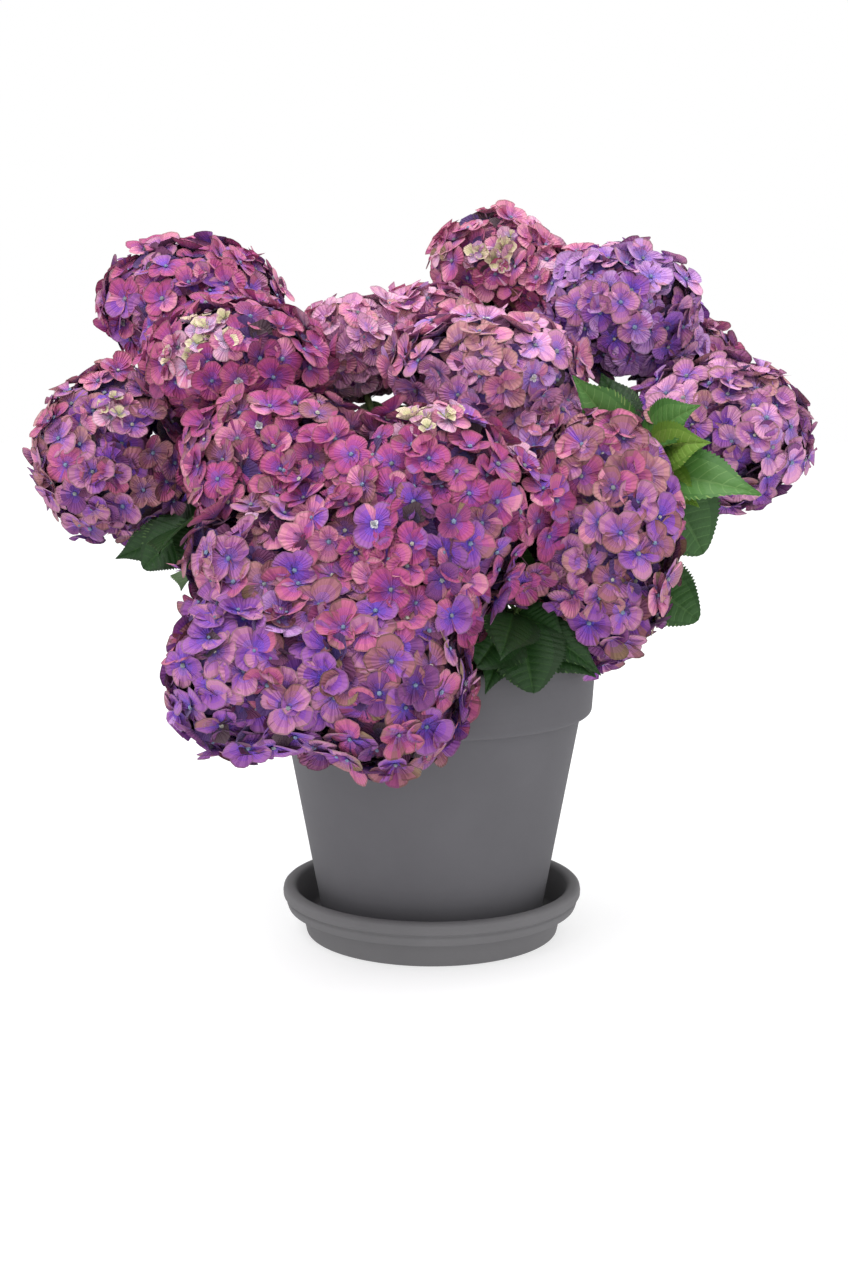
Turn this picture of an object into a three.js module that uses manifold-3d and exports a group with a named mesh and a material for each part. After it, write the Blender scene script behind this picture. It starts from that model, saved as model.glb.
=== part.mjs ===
// Mophead hydrangea shrub in a clay pot that stands in a round saucer.
// Units are millimetres, +Z is up, and the front of the plant faces -Y.
// The origin is the middle of the saucer's flat underside.

import * as THREE from 'three';
import { mergeVertices } from 'three/addons/utils/BufferGeometryUtils.js';
import Module from 'manifold-3d';

const wasm = await Module();
wasm.setup();
const { Manifold, Mesh } = wasm;

// ---- driving dimensions ----
const GAP = 0.3; // clearance between pieces that rest against each other
const ROUND_FACETS = 32; // facets round the pot and the saucer

const SAUCER_FOOT_R = 104.5;
const SAUCER_STEP_R = 108.5;
const SAUCER_STEP_Z = 19;
const SAUCER_RIM_R = 124;
const SAUCER_TOP = 41;
const SAUCER_FLOOR = 8.2;
const SAUCER_WALL = 10.6;

const POT_FOOT_R = 90;
const POT_SLOPE = 0.184; // outward run of the wall for each millimetre of height
const POT_WALL = 11;
const POT_FLOOR = 11;
const COLLAR_BOTTOM = 187;
const COLLAR_BOTTOM_R = 131.5;
const RIM_R = 135;
const RIM_TOP = 239.4;

const SOIL_TOP = 222;
const SOIL_DISH = 5; // how far the soil sinks at the pot wall
const SOIL_FLAT_R = 44;

const CROWN_R = 32; // radius of the woody crown that all canes spring from
const CROWN_Z = 227;
const CROWN_SINK = 2; // how far limbs run in under the crown's surface before they are cut back

const CANE_FOOT_R = 4.4;
const CANE_TIP_R = 3.2;
const CANE_SIDES = 5;
const CANE_STEPS = 4;
const CANE_SPREAD = 19.5; // least angle between neighbouring canes at the crown, degrees
const CANE_LEAST_RISE = 0.42; // least upward part of a cane's first direction

const CORE_SHARE = 0.84; // size of a head's dense middle against the whole head
const HEAD_STEM_R = 3;
const HEAD_STEM_LENGTH = 15;
const FLORET_R = 24;
const FLORET_SPACING = 55;
const FLORET_NOTCH = 0.74; // depth of the notches between petals
const FLORET_ROOT = 0.64; // how deep a floret's stalk reaches into its head
const TERRITORY = 0.035; // margin between the spaces of two heads, in head radii

const LEAF_THICK = 2;
const LEAF_LEAN = 0.6; // outward lean of the leaves' upper faces
const LEAF_CLEAR = 1.3; // extra girth a leaf is tested with before it is kept

// ---- flower heads: name, centre x y z, radius across, half height ----
const HEADS = [
  ['back_left', -206, 120, 517, 86, 60],
  ['upper_left', -154, -2, 472, 78, 48],
  ['far_left', -257, 25, 396, 71, 76],
  ['middle_left', -126, -68, 397, 74, 58],
  ['front_middle', 2, -128, 360, 76, 84],
  ['front_left', -125, -148, 328, 61, 44],
  ['low_left', -139, -205, 250, 57, 61],
  ['low_middle', -36, -188, 245, 65, 70],
  ['front_right', 129, -72, 337, 70, 107],
  ['back_middle_left', -68, 72, 479, 46, 45],
  ['back_middle', 0, 112, 492, 52, 45],
  ['centre_right', 46, -8, 463, 82, 48],
  ['back_top', 56, 168, 552, 62, 48],
  ['upper_right', 159, 80, 510, 68, 60],
  ['back_right_small', 229, 160, 459, 41, 41],
  ['far_right', 236, 30, 411, 79, 65],
  ['rear_left', -75, 190, 350, 60, 52],
  ['rear_middle', 52, 198, 350, 62, 54],
  ['rear_right', 162, 150, 345, 58, 52],
  ['rear_far_left', -180, 132, 355, 60, 54],
  ['rear_low', -10, 205, 268, 60, 50],
];

// ---- leafy shoots: name, shoot tip x y z, lowest height of its own leaf tips, led leaves ----
// A led leaf has its tip x y z, its width, how far along the shoot it springs, and its forward lean.
const SHOOTS = [
  ['right', [172, -12, 390], 330, [
    [112, -24, 461, 42, 0.97, 3],
    [206, -62, 440, 46, 0.97, 1],
    [253, -80, 374, 50, 0.9, 1],
    [220, -14, 317, 40, 0.98, 4],
    [150, 34, 464, 38, 0.94, 2],
  ]],
  ['front_middle', [66, -98, 284], 254, [
    [34, -148, 250, 46, 0.97, 2],
    [76, -144, 229, 44, 0.97, 4],
    [128, -128, 240, 36, 0.85, 2],
    [40, -152, 230, 36, 0.78, 4],
  ]],
  ['left', [-190, -14, 346], 306, [
    [-257, -12, 313, 30, 0.97, 2],
    [-232, -30, 308, 40, 0.97, 4],
    [-196, -40, 309, 46, 0.9, 4],
  ]],
  ['right_low', [162, 6, 306], 262, [
    [214, -30, 266, 46, 0.97, 4],
    [158, -62, 244, 34, 0.85, 3],
  ]],
  ['middle', [-24, 84, 372], 300, [
    [-25, 70, 448, 44, 0.97, 2],
  ]],
  ['back_left', [-120, 120, 270], 254, []],
  ['back_right', [118, 150, 268], 254, []],
  ['back_middle', [62, 190, 262], 254, []],
  ['left_low', [-150, 40, 270], 262, []],
  ['right_side', [196, 78, 330], 262, []],
  ['left_side', [-214, 66, 312], 270, []],
  ['rear_upper', [-12, 186, 432], 330, []],
];
const SHOOT_FOOT_R = 3.4;
const SHOOT_TIP_R = 1.8;
const SHOOT_PAIRS = 3;
const SHOOT_LEAF_LENGTH = 88;
const SHOOT_LEAF_WIDTH = 50;
const SHOOT_HIGHEST_TIP = 420; // keeps leaves below the open spaces between the upper heads

// ---- colours ----
const COLOURS = {
  clay: 0x67666a,
  saucer: 0x6b6966,
  soil: 0x2c241d,
  wood: 0x6d5a3c,
  cane: 0x6f7a45,
  petal: 0x9d5597,
  leaf: 0x3f6335,
};

const AXIS = new THREE.Vector3(0, 0, 1);
const CROWN = new THREE.Vector3(0, 0, CROWN_Z);

// Seeded random numbers between 0 and 1.
function randomFrom(seed) {
  let state = seed;
  return () => {
    state = (state * 1664525 + 1013904223) % 4294967296;
    return state / 4294967296;
  };
}

// Closed solid from a list of points and triangles.
function solidFrom(points, triangles) {
  const vertProperties = new Float32Array(points.length * 3);
  points.forEach((point, index) => vertProperties.set([point.x, point.y, point.z], index * 3));
  const triVerts = new Uint32Array(triangles.flat());
  return new Manifold(new Mesh({ numProp: 3, vertProperties, triVerts }));
}

// Closed solid from a three.js geometry: seams welded, slivers at the axis dropped.
function solidOf(geometry) {
  const bare = new THREE.BufferGeometry();
  bare.setAttribute('position', geometry.getAttribute('position'));
  bare.setIndex(geometry.getIndex());
  const welded = mergeVertices(bare, 0.001);
  const place = welded.getAttribute('position');
  const index = welded.getIndex().array;
  const points = [];
  for (let i = 0; i < place.count; i += 1) {
    points.push(new THREE.Vector3().fromBufferAttribute(place, i));
  }
  const triangles = [];
  for (let i = 0; i < index.length; i += 3) {
    const [a, b, c] = [index[i], index[i + 1], index[i + 2]];
    if (a !== b && b !== c && c !== a) {
      triangles.push([a, b, c]);
    }
  }
  return solidFrom(points, triangles);
}

// Turned solid: profile pairs are radius and height, from the axis round to the axis.
function turned(profile, facets) {
  const outline = profile.map(([radius, height]) => new THREE.Vector2(radius, height));
  const geometry = new THREE.LatheGeometry(outline, facets);
  geometry.rotateX(Math.PI / 2);
  return solidOf(geometry);
}

// Round limb through the given centres, square to its own path at both ends.
function limb(centres, directions, radii, sides) {
  const points = [];
  const triangles = [];
  const across = new THREE.Vector3(1, 0, 0);
  if (Math.abs(directions[0].x) > 0.8) {
    across.set(0, 1, 0);
  }
  centres.forEach((centre, step) => {
    const side = across.clone().addScaledVector(directions[step], -across.dot(directions[step]));
    side.normalize();
    across.copy(side);
    const other = directions[step].clone().cross(side);
    for (let k = 0; k < sides; k += 1) {
      const turn = (2 * Math.PI * k) / sides;
      const rim = centre.clone().addScaledVector(side, radii[step] * Math.cos(turn));
      points.push(rim.addScaledVector(other, radii[step] * Math.sin(turn)));
    }
  });
  const last = (centres.length - 1) * sides;
  for (let k = 0; k < sides; k += 1) {
    const next = (k + 1) % sides;
    for (let row = 0; row < last; row += sides) {
      triangles.push([row + k, row + next, row + sides + next]);
      triangles.push([row + k, row + sides + next, row + sides + k]);
    }
    if (k > 0 && next > 0) {
      triangles.push([0, next, k]);
      triangles.push([last, last + k, last + next]);
    }
  }
  return solidFrom(points, triangles);
}

// Limb along a curve, tapering evenly from foot to tip.
function taperingLimb(curve, footRadius, tipRadius, sides, steps, extra = 0) {
  const centres = [];
  const directions = [];
  const radii = [];
  for (let step = 0; step <= steps; step += 1) {
    const share = step / steps;
    centres.push(curve.getPoint(share));
    directions.push(curve.getTangent(share));
    radii.push(footRadius + (tipRadius - footRadius) * share + extra);
  }
  return limb(centres, directions, radii, sides);
}

function clash(first, second) {
  return !first.intersect(second).isEmpty();
}

// Joins the pieces of one node and keeps the one connected body.
function joined(pieces) {
  const bodies = Manifold.union(pieces).simplify(0.5).decompose();
  bodies.sort((a, b) => b.volume() - a.volume());
  return bodies[0];
}

// ---- saucer, pot and soil ----
function saucerSolid() {
  const innerTop = SAUCER_RIM_R - SAUCER_WALL;
  return turned([
    [0, 0],
    [SAUCER_FOOT_R - 2, 0],
    [SAUCER_FOOT_R, 2],
    [SAUCER_STEP_R, SAUCER_STEP_Z],
    [SAUCER_RIM_R - 6, SAUCER_STEP_Z + 4],
    [SAUCER_RIM_R, SAUCER_TOP - 8],
    [SAUCER_RIM_R, SAUCER_TOP - 4],
    [SAUCER_RIM_R - 3.5, SAUCER_TOP],
    [innerTop + 2.5, SAUCER_TOP],
    [innerTop, SAUCER_TOP - 4],
    [innerTop - 9, SAUCER_FLOOR + 4],
    [innerTop - 13, SAUCER_FLOOR],
    [0, SAUCER_FLOOR],
  ], ROUND_FACETS);
}

const POT_BASE = SAUCER_FLOOR + GAP;
const potOuter = (height) => POT_FOOT_R + (height - POT_BASE) * POT_SLOPE;
const potInner = (height) => potOuter(height) - POT_WALL;

function potSolid() {
  const floor = POT_BASE + POT_FLOOR;
  return turned([
    [0, POT_BASE],
    [POT_FOOT_R - 2.5, POT_BASE],
    [potOuter(POT_BASE + 3), POT_BASE + 3],
    [potOuter(COLLAR_BOTTOM), COLLAR_BOTTOM],
    [COLLAR_BOTTOM_R - 2, COLLAR_BOTTOM + 0.5],
    [COLLAR_BOTTOM_R + 1, COLLAR_BOTTOM + 6],
    [RIM_R, RIM_TOP - 5],
    [RIM_R - 3.5, RIM_TOP],
    [potInner(RIM_TOP) + 2.5, RIM_TOP],
    [potInner(RIM_TOP - 3), RIM_TOP - 3],
    [potInner(floor), floor],
    [0, floor],
  ], ROUND_FACETS);
}

function soilSolid() {
  const floor = POT_BASE + POT_FLOOR + GAP;
  const edge = SOIL_TOP - SOIL_DISH;
  return turned([
    [0, floor],
    [potInner(floor) - GAP, floor],
    [potInner(edge) - GAP, edge],
    [SOIL_FLAT_R, SOIL_TOP],
    [0, SOIL_TOP],
  ], ROUND_FACETS);
}

// Low domed woody crown that sits on the soil, or that crown grown outward by a margin.
function crownSolid(margin = 0) {
  const radius = CROWN_R + margin;
  const bottom = SOIL_TOP + GAP;
  const profile = [[0, bottom], [radius + 1.5, bottom]];
  const rings = 4;
  for (let ring = 0; ring < rings; ring += 1) {
    const rise = (ring / rings) * (Math.PI / 2);
    profile.push([radius * Math.cos(rise), CROWN_Z + radius * Math.sin(rise)]);
  }
  profile.push([0, CROWN_Z + radius]);
  return turned(profile, 18);
}

// ---- layout shared by canes, heads and leaves ----
const heads = HEADS.map(([name, x, y, z, across, tall], index) => {
  const centre = new THREE.Vector3(x, y, z);
  const radii = new THREE.Vector3(across, across, tall);
  // The head faces outward, and upward the higher it stands.
  const facing = new THREE.Vector3(0.55 * x, 0.55 * y, 0.45 * (z - 250)).normalize();
  const reach = 1 / facing.clone().divide(radii).length();
  const stemFoot = centre.clone().addScaledVector(facing, -(CORE_SHARE * reach + HEAD_STEM_LENGTH));
  return { name, centre, radii, facing, reach, stemFoot, seed: 101 + 17 * index };
});

// First directions of all limbs, pushed apart until none stand on another's foot.
function spreadDirections(targets) {
  const directions = targets.map((target) => target.clone().sub(CROWN).normalize());
  const least = THREE.MathUtils.degToRad(CANE_SPREAD);
  for (let round = 0; round < 200; round += 1) {
    for (let i = 0; i < directions.length; i += 1) {
      for (let k = i + 1; k < directions.length; k += 1) {
        const angle = directions[i].angleTo(directions[k]);
        if (angle < least) {
          const push = directions[i].clone().sub(directions[k]).normalize();
          push.multiplyScalar((least - angle) * 0.5);
          directions[i].add(push).normalize();
          directions[k].sub(push).normalize();
        }
      }
      directions[i].z = Math.max(directions[i].z, CANE_LEAST_RISE);
      directions[i].normalize();
    }
  }
  return directions;
}

const shoots = SHOOTS.map(([name, tip, lowest, leaves], index) => (
  { name, tip: new THREE.Vector3(...tip), lowest, leaves, seed: 907 + 31 * index }
));
const firstDirections = spreadDirections([
  ...heads.map((head) => head.stemFoot),
  ...shoots.map((shoot) => shoot.tip),
]);

function limbCurve(first, end, arriving) {
  const foot = CROWN.clone().addScaledVector(first, CROWN_R - CROWN_SINK);
  const span = foot.distanceTo(end);
  return new THREE.CubicBezierCurve3(
    foot,
    foot.clone().addScaledVector(first, 0.4 * span),
    end.clone().addScaledVector(arriving, -0.34 * span),
    end,
  );
}

heads.forEach((head, index) => {
  const end = head.stemFoot.clone().addScaledVector(head.facing, -GAP);
  head.curve = limbCurve(firstDirections[index], end, head.facing);
});
shoots.forEach((shoot, index) => {
  const outward = new THREE.Vector3(shoot.tip.x, shoot.tip.y, 12).normalize();
  shoot.curve = limbCurve(firstDirections[heads.length + index], shoot.tip, outward);
});

// How far a point lies from the middle of a head, counted in that head's own radii.
function depthIn(head, point) {
  return point.clone().sub(head.centre).divide(head.radii).length();
}

function isOwnSpace(head, point) {
  const own = depthIn(head, point);
  return heads.every((other) => other === head || depthIn(other, point) > own + TERRITORY);
}

// ---- flower heads ----
// One floret: four rounded petals round a sunken middle, narrowing to a stalk deep in the head.
function floretParts(head, way, random) {
  const skin = way.clone().multiply(head.radii);
  const normal = way.clone().divide(head.radii).normalize();
  normal.x += (random() - 0.5) * 0.5;
  normal.y += (random() - 0.5) * 0.5;
  normal.z += (random() - 0.5) * 0.5;
  normal.normalize();
  const side = new THREE.Vector3().crossVectors(normal, AXIS);
  if (side.length() < 0.1) {
    side.set(1, 0, 0);
  }
  side.applyAxisAngle(normal, random() * Math.PI).normalize();
  const other = new THREE.Vector3().crossVectors(normal, side);
  const size = FLORET_R * (0.9 + 0.2 * random());
  const heart = head.centre.clone().addScaledVector(skin, 0.88 + 0.05 * random());
  const ring = [];
  for (let k = 0; k < 8; k += 1) {
    const turn = (Math.PI / 4) * k;
    const reach = k % 2 === 0 ? size : size * FLORET_NOTCH;
    const lift = k % 2 === 0 ? 2 : 0;
    const edge = heart.clone().addScaledVector(side, reach * Math.cos(turn));
    edge.addScaledVector(other, reach * Math.sin(turn));
    ring.push(edge.addScaledVector(normal, lift));
  }
  const root = head.centre.clone().addScaledVector(skin, FLORET_ROOT);
  const middle = heart.clone().addScaledVector(normal, -1.5);
  const triangles = [];
  for (let k = 0; k < 8; k += 1) {
    const next = (k + 1) % 8;
    triangles.push([k, next, 8]);
    triangles.push([next, k, 9]);
  }
  return { ring, solid: solidFrom([...ring, middle, root], triangles) };
}

function coreSolid(head) {
  const core = new THREE.IcosahedronGeometry(1, 0);
  core.scale(...head.radii.clone().multiplyScalar(CORE_SHARE).toArray());
  core.translate(...head.centre.toArray());
  return solidOf(core);
}

function headSolid(head, keepOut) {
  const random = randomFrom(head.seed);
  const inside = head.centre.clone().addScaledVector(head.facing, -0.35 * head.reach);
  const stem = limb(
    [head.stemFoot, inside],
    [head.facing, head.facing],
    [HEAD_STEM_R, HEAD_STEM_R],
    CANE_SIDES,
  );
  const pieces = [coreSolid(head), stem];
  const mean = (2 * head.radii.x + head.radii.z) / 3;
  const count = Math.round((4 * Math.PI * mean * mean) / (0.866 * FLORET_SPACING ** 2));
  const golden = Math.PI * (3 - Math.sqrt(5));
  for (let i = 0; i < count; i += 1) {
    const height = 1 - (2 * (i + 0.5)) / count;
    const flat = Math.sqrt(1 - height * height);
    const turn = golden * i + head.seed;
    const way = new THREE.Vector3(flat * Math.cos(turn), flat * Math.sin(turn), height);
    const floret = floretParts(head, way, random);
    const underside = way.clone().multiply(head.radii).normalize().dot(head.facing) < -0.85;
    const roomy = floret.ring.every((point) => isOwnSpace(head, point));
    if (!underside && roomy && !clash(floret.solid, keepOut)) {
      pieces.push(floret.solid);
    }
  }
  return joined(pieces);
}

// ---- leaves ----
// Pointed oval leaf from its foot to its tip, arched along the midrib; the foot narrows to a stalk.
function leafSolid(foot, tip, width, up, grow = 0) {
  const along = tip.clone().sub(foot);
  const side = new THREE.Vector3().crossVectors(along, up).normalize();
  const normal = new THREE.Vector3().crossVectors(side, along).normalize();
  const point = (share, across, lift) => foot.clone()
    .addScaledVector(along, share)
    .addScaledVector(side, across)
    .addScaledVector(normal, lift);
  const arch = 0.08 * along.length();
  const half = width / 2 + grow;
  const thick = LEAF_THICK / 2 + grow;
  const points = [
    point(0, 0, 0),
    point(0.42, -half, arch * 0.8),
    point(0.76, -half * 0.72, arch * 0.5),
    point(1 + grow / along.length(), 0, -arch * 0.4),
    point(0.76, half * 0.72, arch * 0.5),
    point(0.42, half, arch * 0.8),
    point(0.55, 0, arch * 0.45 + thick),
    point(0.55, 0, arch * 0.45 - thick),
  ];
  const triangles = [];
  for (let k = 0; k < 6; k += 1) {
    const next = (k + 1) % 6;
    triangles.push([next, k, 6]);
    triangles.push([k, next, 7]);
  }
  return solidFrom(points, triangles);
}

// The led leaves of a shoot that find room, as foot, tip, width and upward side.
function ledLeaves(shoot, keepOut) {
  const leaves = shoot.leaves.map(([x, y, z, width, share, lean]) => (
    [shoot.curve.getPoint(share), new THREE.Vector3(x, y, z), width, new THREE.Vector3(0, -lean, 1)]
  ));
  return leaves.filter((leaf) => !clash(leafSolid(...leaf, LEAF_CLEAR), keepOut));
}

function leafyShootSolid(shoot, keepOut) {
  const random = randomFrom(shoot.seed);
  const stem = taperingLimb(shoot.curve, SHOOT_FOOT_R, SHOOT_TIP_R, CANE_SIDES, CANE_STEPS);
  const pieces = [stem, ...shoot.led.map((leaf) => leafSolid(...leaf))];
  const outward = new THREE.Vector3(shoot.tip.x, shoot.tip.y, 0).normalize();
  const faceUp = AXIS.clone().addScaledVector(outward, LEAF_LEAN);
  for (let pair = 0; pair < SHOOT_PAIRS; pair += 1) {
    const share = 0.96 - 0.17 * pair;
    const foot = shoot.curve.getPoint(share);
    const ahead = shoot.curve.getTangent(share);
    const sideways = new THREE.Vector3().crossVectors(ahead, AXIS).normalize();
    for (const hand of [1, -1]) {
      let placed = false;
      for (let attempt = 0; attempt < 14 && !placed; attempt += 1) {
        const away = sideways.clone().multiplyScalar(hand);
        away.applyAxisAngle(ahead, (pair % 2) * (Math.PI / 2) + (random() - 0.5) * 2.4);
        away.addScaledVector(ahead, 0.25 + 0.7 * random());
        away.z -= 0.15;
        const length = SHOOT_LEAF_LENGTH * (1.1 - 0.045 * attempt);
        const tip = foot.clone().addScaledVector(away.normalize(), length);
        const leaf = [foot, tip, SHOOT_LEAF_WIDTH * (1 - 0.03 * attempt), faceUp];
        const level = tip.z > shoot.lowest && tip.z < SHOOT_HIGHEST_TIP;
        placed = level && !clash(leafSolid(...leaf, LEAF_CLEAR), keepOut);
        if (placed) {
          pieces.push(leafSolid(...leaf));
        }
      }
    }
  }
  return joined(pieces).subtract(crownClearance);
}

// ---- assembly ----
const plant = new THREE.Group();
plant.name = 'hydrangea_shrub_in_pot';

function addNode(name, solid, colour) {
  const mesh = solid.getMesh();
  const geometry = new THREE.BufferGeometry();
  geometry.setAttribute('position', new THREE.BufferAttribute(mesh.vertProperties, 3));
  geometry.setIndex(new THREE.BufferAttribute(mesh.triVerts, 1));
  geometry.computeVertexNormals();
  const material = new THREE.MeshStandardMaterial({ color: colour, roughness: 0.8 });
  material.name = `${name}_finish`;
  const node = new THREE.Mesh(geometry, material);
  node.name = name;
  plant.add(node);
}

const saucer = saucerSolid();
const pot = potSolid();
const soil = soilSolid();
const crown = crownSolid();
const crownClearance = crownSolid(1.03 * GAP);
addNode('saucer', saucer, COLOURS.saucer);
addNode('pot', pot, COLOURS.clay);
addNode('soil', soil, COLOURS.soil);
addNode('woody_crown', crown, COLOURS.wood);

const thickLimbs = [];
for (const head of heads) {
  const cane = taperingLimb(head.curve, CANE_FOOT_R, CANE_TIP_R, CANE_SIDES, CANE_STEPS);
  addNode(`cane_${head.name}`, cane.subtract(crownClearance), COLOURS.cane);
  thickLimbs.push(taperingLimb(head.curve, CANE_FOOT_R, CANE_TIP_R, CANE_SIDES, CANE_STEPS, 1));
}
for (const shoot of shoots) {
  shoot.thick = taperingLimb(shoot.curve, SHOOT_FOOT_R, SHOOT_TIP_R, CANE_SIDES, CANE_STEPS, 1);
}
const shootLimbs = shoots.map((shoot) => shoot.thick);
const framework = Manifold.union([saucer, pot, soil, crown, ...thickLimbs]);
const cores = heads.map(coreSolid);
shoots.forEach((shoot) => {
  const others = shootLimbs.filter((other) => other !== shoot.thick);
  shoot.led = ledLeaves(shoot, Manifold.union([framework, ...cores, ...others]));
});
const ledThick = shoots.flatMap((shoot) => shoot.led.map((leaf) => leafSolid(...leaf, LEAF_CLEAR)));
const headKeepOut = Manifold.union([framework, ...shootLimbs, ...ledThick]);

const headSolids = heads.map((head) => {
  const solid = headSolid(head, headKeepOut);
  addNode(`flower_head_${head.name}`, solid, COLOURS.petal);
  return solid;
});

let taken = Manifold.union([framework, ...headSolids]);
shoots.forEach((shoot) => {
  const others = shootLimbs.filter((other) => other !== shoot.thick);
  const solid = leafyShootSolid(shoot, Manifold.union([taken, ...others]));
  addNode(`leafy_shoot_${shoot.name}`, solid, COLOURS.leaf);
  taken = taken.add(solid);
});

export default plant;
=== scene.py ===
# Looks of the mophead hydrangea in its clay pot and saucer.
# Lengths are worked out in millimetres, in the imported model's frame, and turned into metres
# when a mesh is made. The front of the plant faces -Y.

import math

import bpy
import numpy as np
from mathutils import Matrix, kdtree


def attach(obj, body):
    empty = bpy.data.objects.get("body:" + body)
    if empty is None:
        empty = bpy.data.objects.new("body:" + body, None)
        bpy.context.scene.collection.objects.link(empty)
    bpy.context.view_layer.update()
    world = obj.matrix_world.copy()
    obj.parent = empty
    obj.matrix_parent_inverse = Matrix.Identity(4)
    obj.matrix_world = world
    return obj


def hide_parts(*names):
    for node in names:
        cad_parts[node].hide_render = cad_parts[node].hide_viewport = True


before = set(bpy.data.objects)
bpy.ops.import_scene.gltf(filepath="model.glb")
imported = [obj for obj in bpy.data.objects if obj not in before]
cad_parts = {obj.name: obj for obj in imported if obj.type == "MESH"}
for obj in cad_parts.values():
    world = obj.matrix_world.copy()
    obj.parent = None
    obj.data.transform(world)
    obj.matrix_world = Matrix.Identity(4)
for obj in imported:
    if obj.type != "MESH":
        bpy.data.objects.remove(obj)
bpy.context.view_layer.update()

MM = 0.001

# ---- dimensions shared with the solids ----
SAUCER_FOOT_R = 104.5
SAUCER_STEP_R = 108.5
SAUCER_STEP_Z = 19
SAUCER_RIM_R = 124
SAUCER_TOP = 41
SAUCER_LIP_Z = 30
SAUCER_FLOOR = 8.2
SAUCER_WALL = 10.6
GAP = 0.3
POT_FOOT_R = 90
POT_SLOPE = 0.184
POT_WALL = 11
POT_FLOOR = 11
POT_BASE = SAUCER_FLOOR + GAP
COLLAR_BOTTOM = 187
COLLAR_BOTTOM_R = 131.5
RIM_R = 135
RIM_TOP = 239.4
SOIL_TOP = 222
SOIL_DISH = 5
SOIL_FLAT_R = 44
CROWN_R = 32
CROWN_Z = 227
CROWN_SINK = 2
CANE_FOOT_R = 4.4
CANE_TIP_R = 3.2
CANE_SPREAD = 19.5
CANE_LEAST_RISE = 0.42
CORE_SHARE = 0.84
HEAD_STEM_LENGTH = 15
LEAF_LEAN = 0.6
SHOOT_FOOT_R = 3.4
SHOOT_TIP_R = 1.8
SHOOT_PAIRS = 3
SHOOT_LEAF_LENGTH = 88
SHOOT_LEAF_WIDTH = 50

SHOOT_TRIES = 14
SPREAD_ROUNDS = 200
TIP_REACH = 0.0052  # metres from a leaf tip to the nearest point of its solid

# ---- florets. A shell is where their hearts lie, a share of the head's radii ----
FLORET_SPACING = 23.0
FLORET_JITTER = 0.17
FLORET_TILT = 0.42
CLOSE_PACKING = 0.866  # a floret's share of the skin against its spacing squared
SHELL = (0.78, 0.95)
SHELL_SPREAD = 0.45
STEM_SIDE = -0.9  # no florets nearer to the head's stem than this cosine
PETAL_LENGTH = 17.8
PETAL_HALF_ANGLE = 60.0
PETAL_OVERLAP = 0.7
PETAL_VEIN = 0.55  # width of a vein's ray beside the rays between the veins
PETAL_VEINS = 5
PETAL_ROWS = (0.2, 0.46, 0.72, 0.94, 1.0)
PHASE_SPAN = 6.28  # nearly a full turn, for the waves in a petal
ODD_PETALS = 0.2  # share of petals that take a tint other than their floret's
# A floret stands where its own mass is nearer than the next by more than this, in their radii.
HEAD_MARGIN = -0.07
BRIDGE_MARGIN = -0.03
YOUNG_MARGIN = -0.02
SUNKEN_MARGIN = -0.2
SUNKEN_SPACING = 32
SUNKEN_SHELL = (0.76, 0.82)
SUNKEN_LENGTH = 19.0
SUNKEN_VEINS = 3
SUNKEN_ROWS = (0.55, 1.0)
VALLEY_WIDTH = 0.35
VALLEY_RISE = 11.0
YOUNG_SPACING = 15.0
YOUNG_SHELL = (0.9, 0.95)
YOUNG_LENGTH = 9.5
YOUNG_ROWS = (0.4, 0.8, 1.0)
STAR_SHARE = 0.035
STAR_LENGTH = 3.6
BEAD_SIDES = 5
EYE_RADIUS = (1.5, 2.1)
YOUNG_EYE_RADIUS = 1.2

# ---- stems and leaves ----
CANE_STEPS = 40
CANE_SCARS = 5.2  # leaf scars along one cane
SHOOT_STEPS = 30
MAP_TURN = 6.2832  # a full turn, in the map round a stem
LEAF_PAIRS = 10
LEAF_COLUMNS = (0.0, 0.045, 0.36, 0.7, 1.0)
LEAF_THICKNESS = 0.45
PETIOLE = 0.13  # share of the leaf's length
CANE_LEAF_SHARES = (0.45, 0.6, 0.75, 0.88)
REAR_LEAF_SHARES = (0.52, 0.64, 0.75, 0.84, 0.93)
REAR_FROM = 60
CANE_LEAF_LENGTH = 84
REAR_LEAF_LENGTH = 104
CANE_LEAF_ASPECT = 0.62
CANE_LEAF_PAIRS = 5
CANE_LEAF_COLUMNS = (0.0, 0.06, 0.55, 1.0)
CANE_TRIES = 10
CROWN_REACH = 255
CLEAR_OF_HEADS = 0.93  # a leaf's least depth in a head's radii
CLEAR_OF_RIM = 8
HIDING_DEPTH = 0.86  # a head hides what lies behind this share of its radii

# ---- turned pieces and floor ----
CLAY_FACETS = 144
SOIL_FACETS = 96
CROWN_FACETS = 72
CROWN_RINGS = 16
FLOOR_R = 6  # metres
FLOOR_SIDES = 64

# ---- flower heads: name, centre x y z, radius across, half height ----
HEADS = [
    ("back_left", -206, 120, 517, 86, 60),
    ("upper_left", -154, -2, 472, 78, 48),
    ("far_left", -257, 25, 396, 71, 76),
    ("middle_left", -126, -68, 397, 74, 58),
    ("front_middle", 2, -128, 360, 76, 84),
    ("front_left", -125, -148, 328, 61, 44),
    ("low_left", -139, -205, 250, 57, 61),
    ("low_middle", -36, -188, 245, 65, 70),
    ("front_right", 129, -72, 337, 70, 107),
    ("back_middle_left", -68, 72, 479, 46, 45),
    ("back_middle", 0, 112, 492, 52, 45),
    ("centre_right", 46, -8, 463, 82, 48),
    ("back_top", 56, 168, 552, 62, 48),
    ("upper_right", 159, 80, 510, 68, 60),
    ("back_right_small", 229, 160, 459, 41, 41),
    ("far_right", 236, 30, 411, 79, 65),
    ("rear_left", -75, 190, 350, 60, 52),
    ("rear_middle", 52, 198, 350, 62, 54),
    ("rear_right", 162, 150, 345, 58, 52),
    ("rear_far_left", -180, 132, 355, 60, 54),
    ("rear_low", -10, 205, 268, 60, 50),
]

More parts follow.
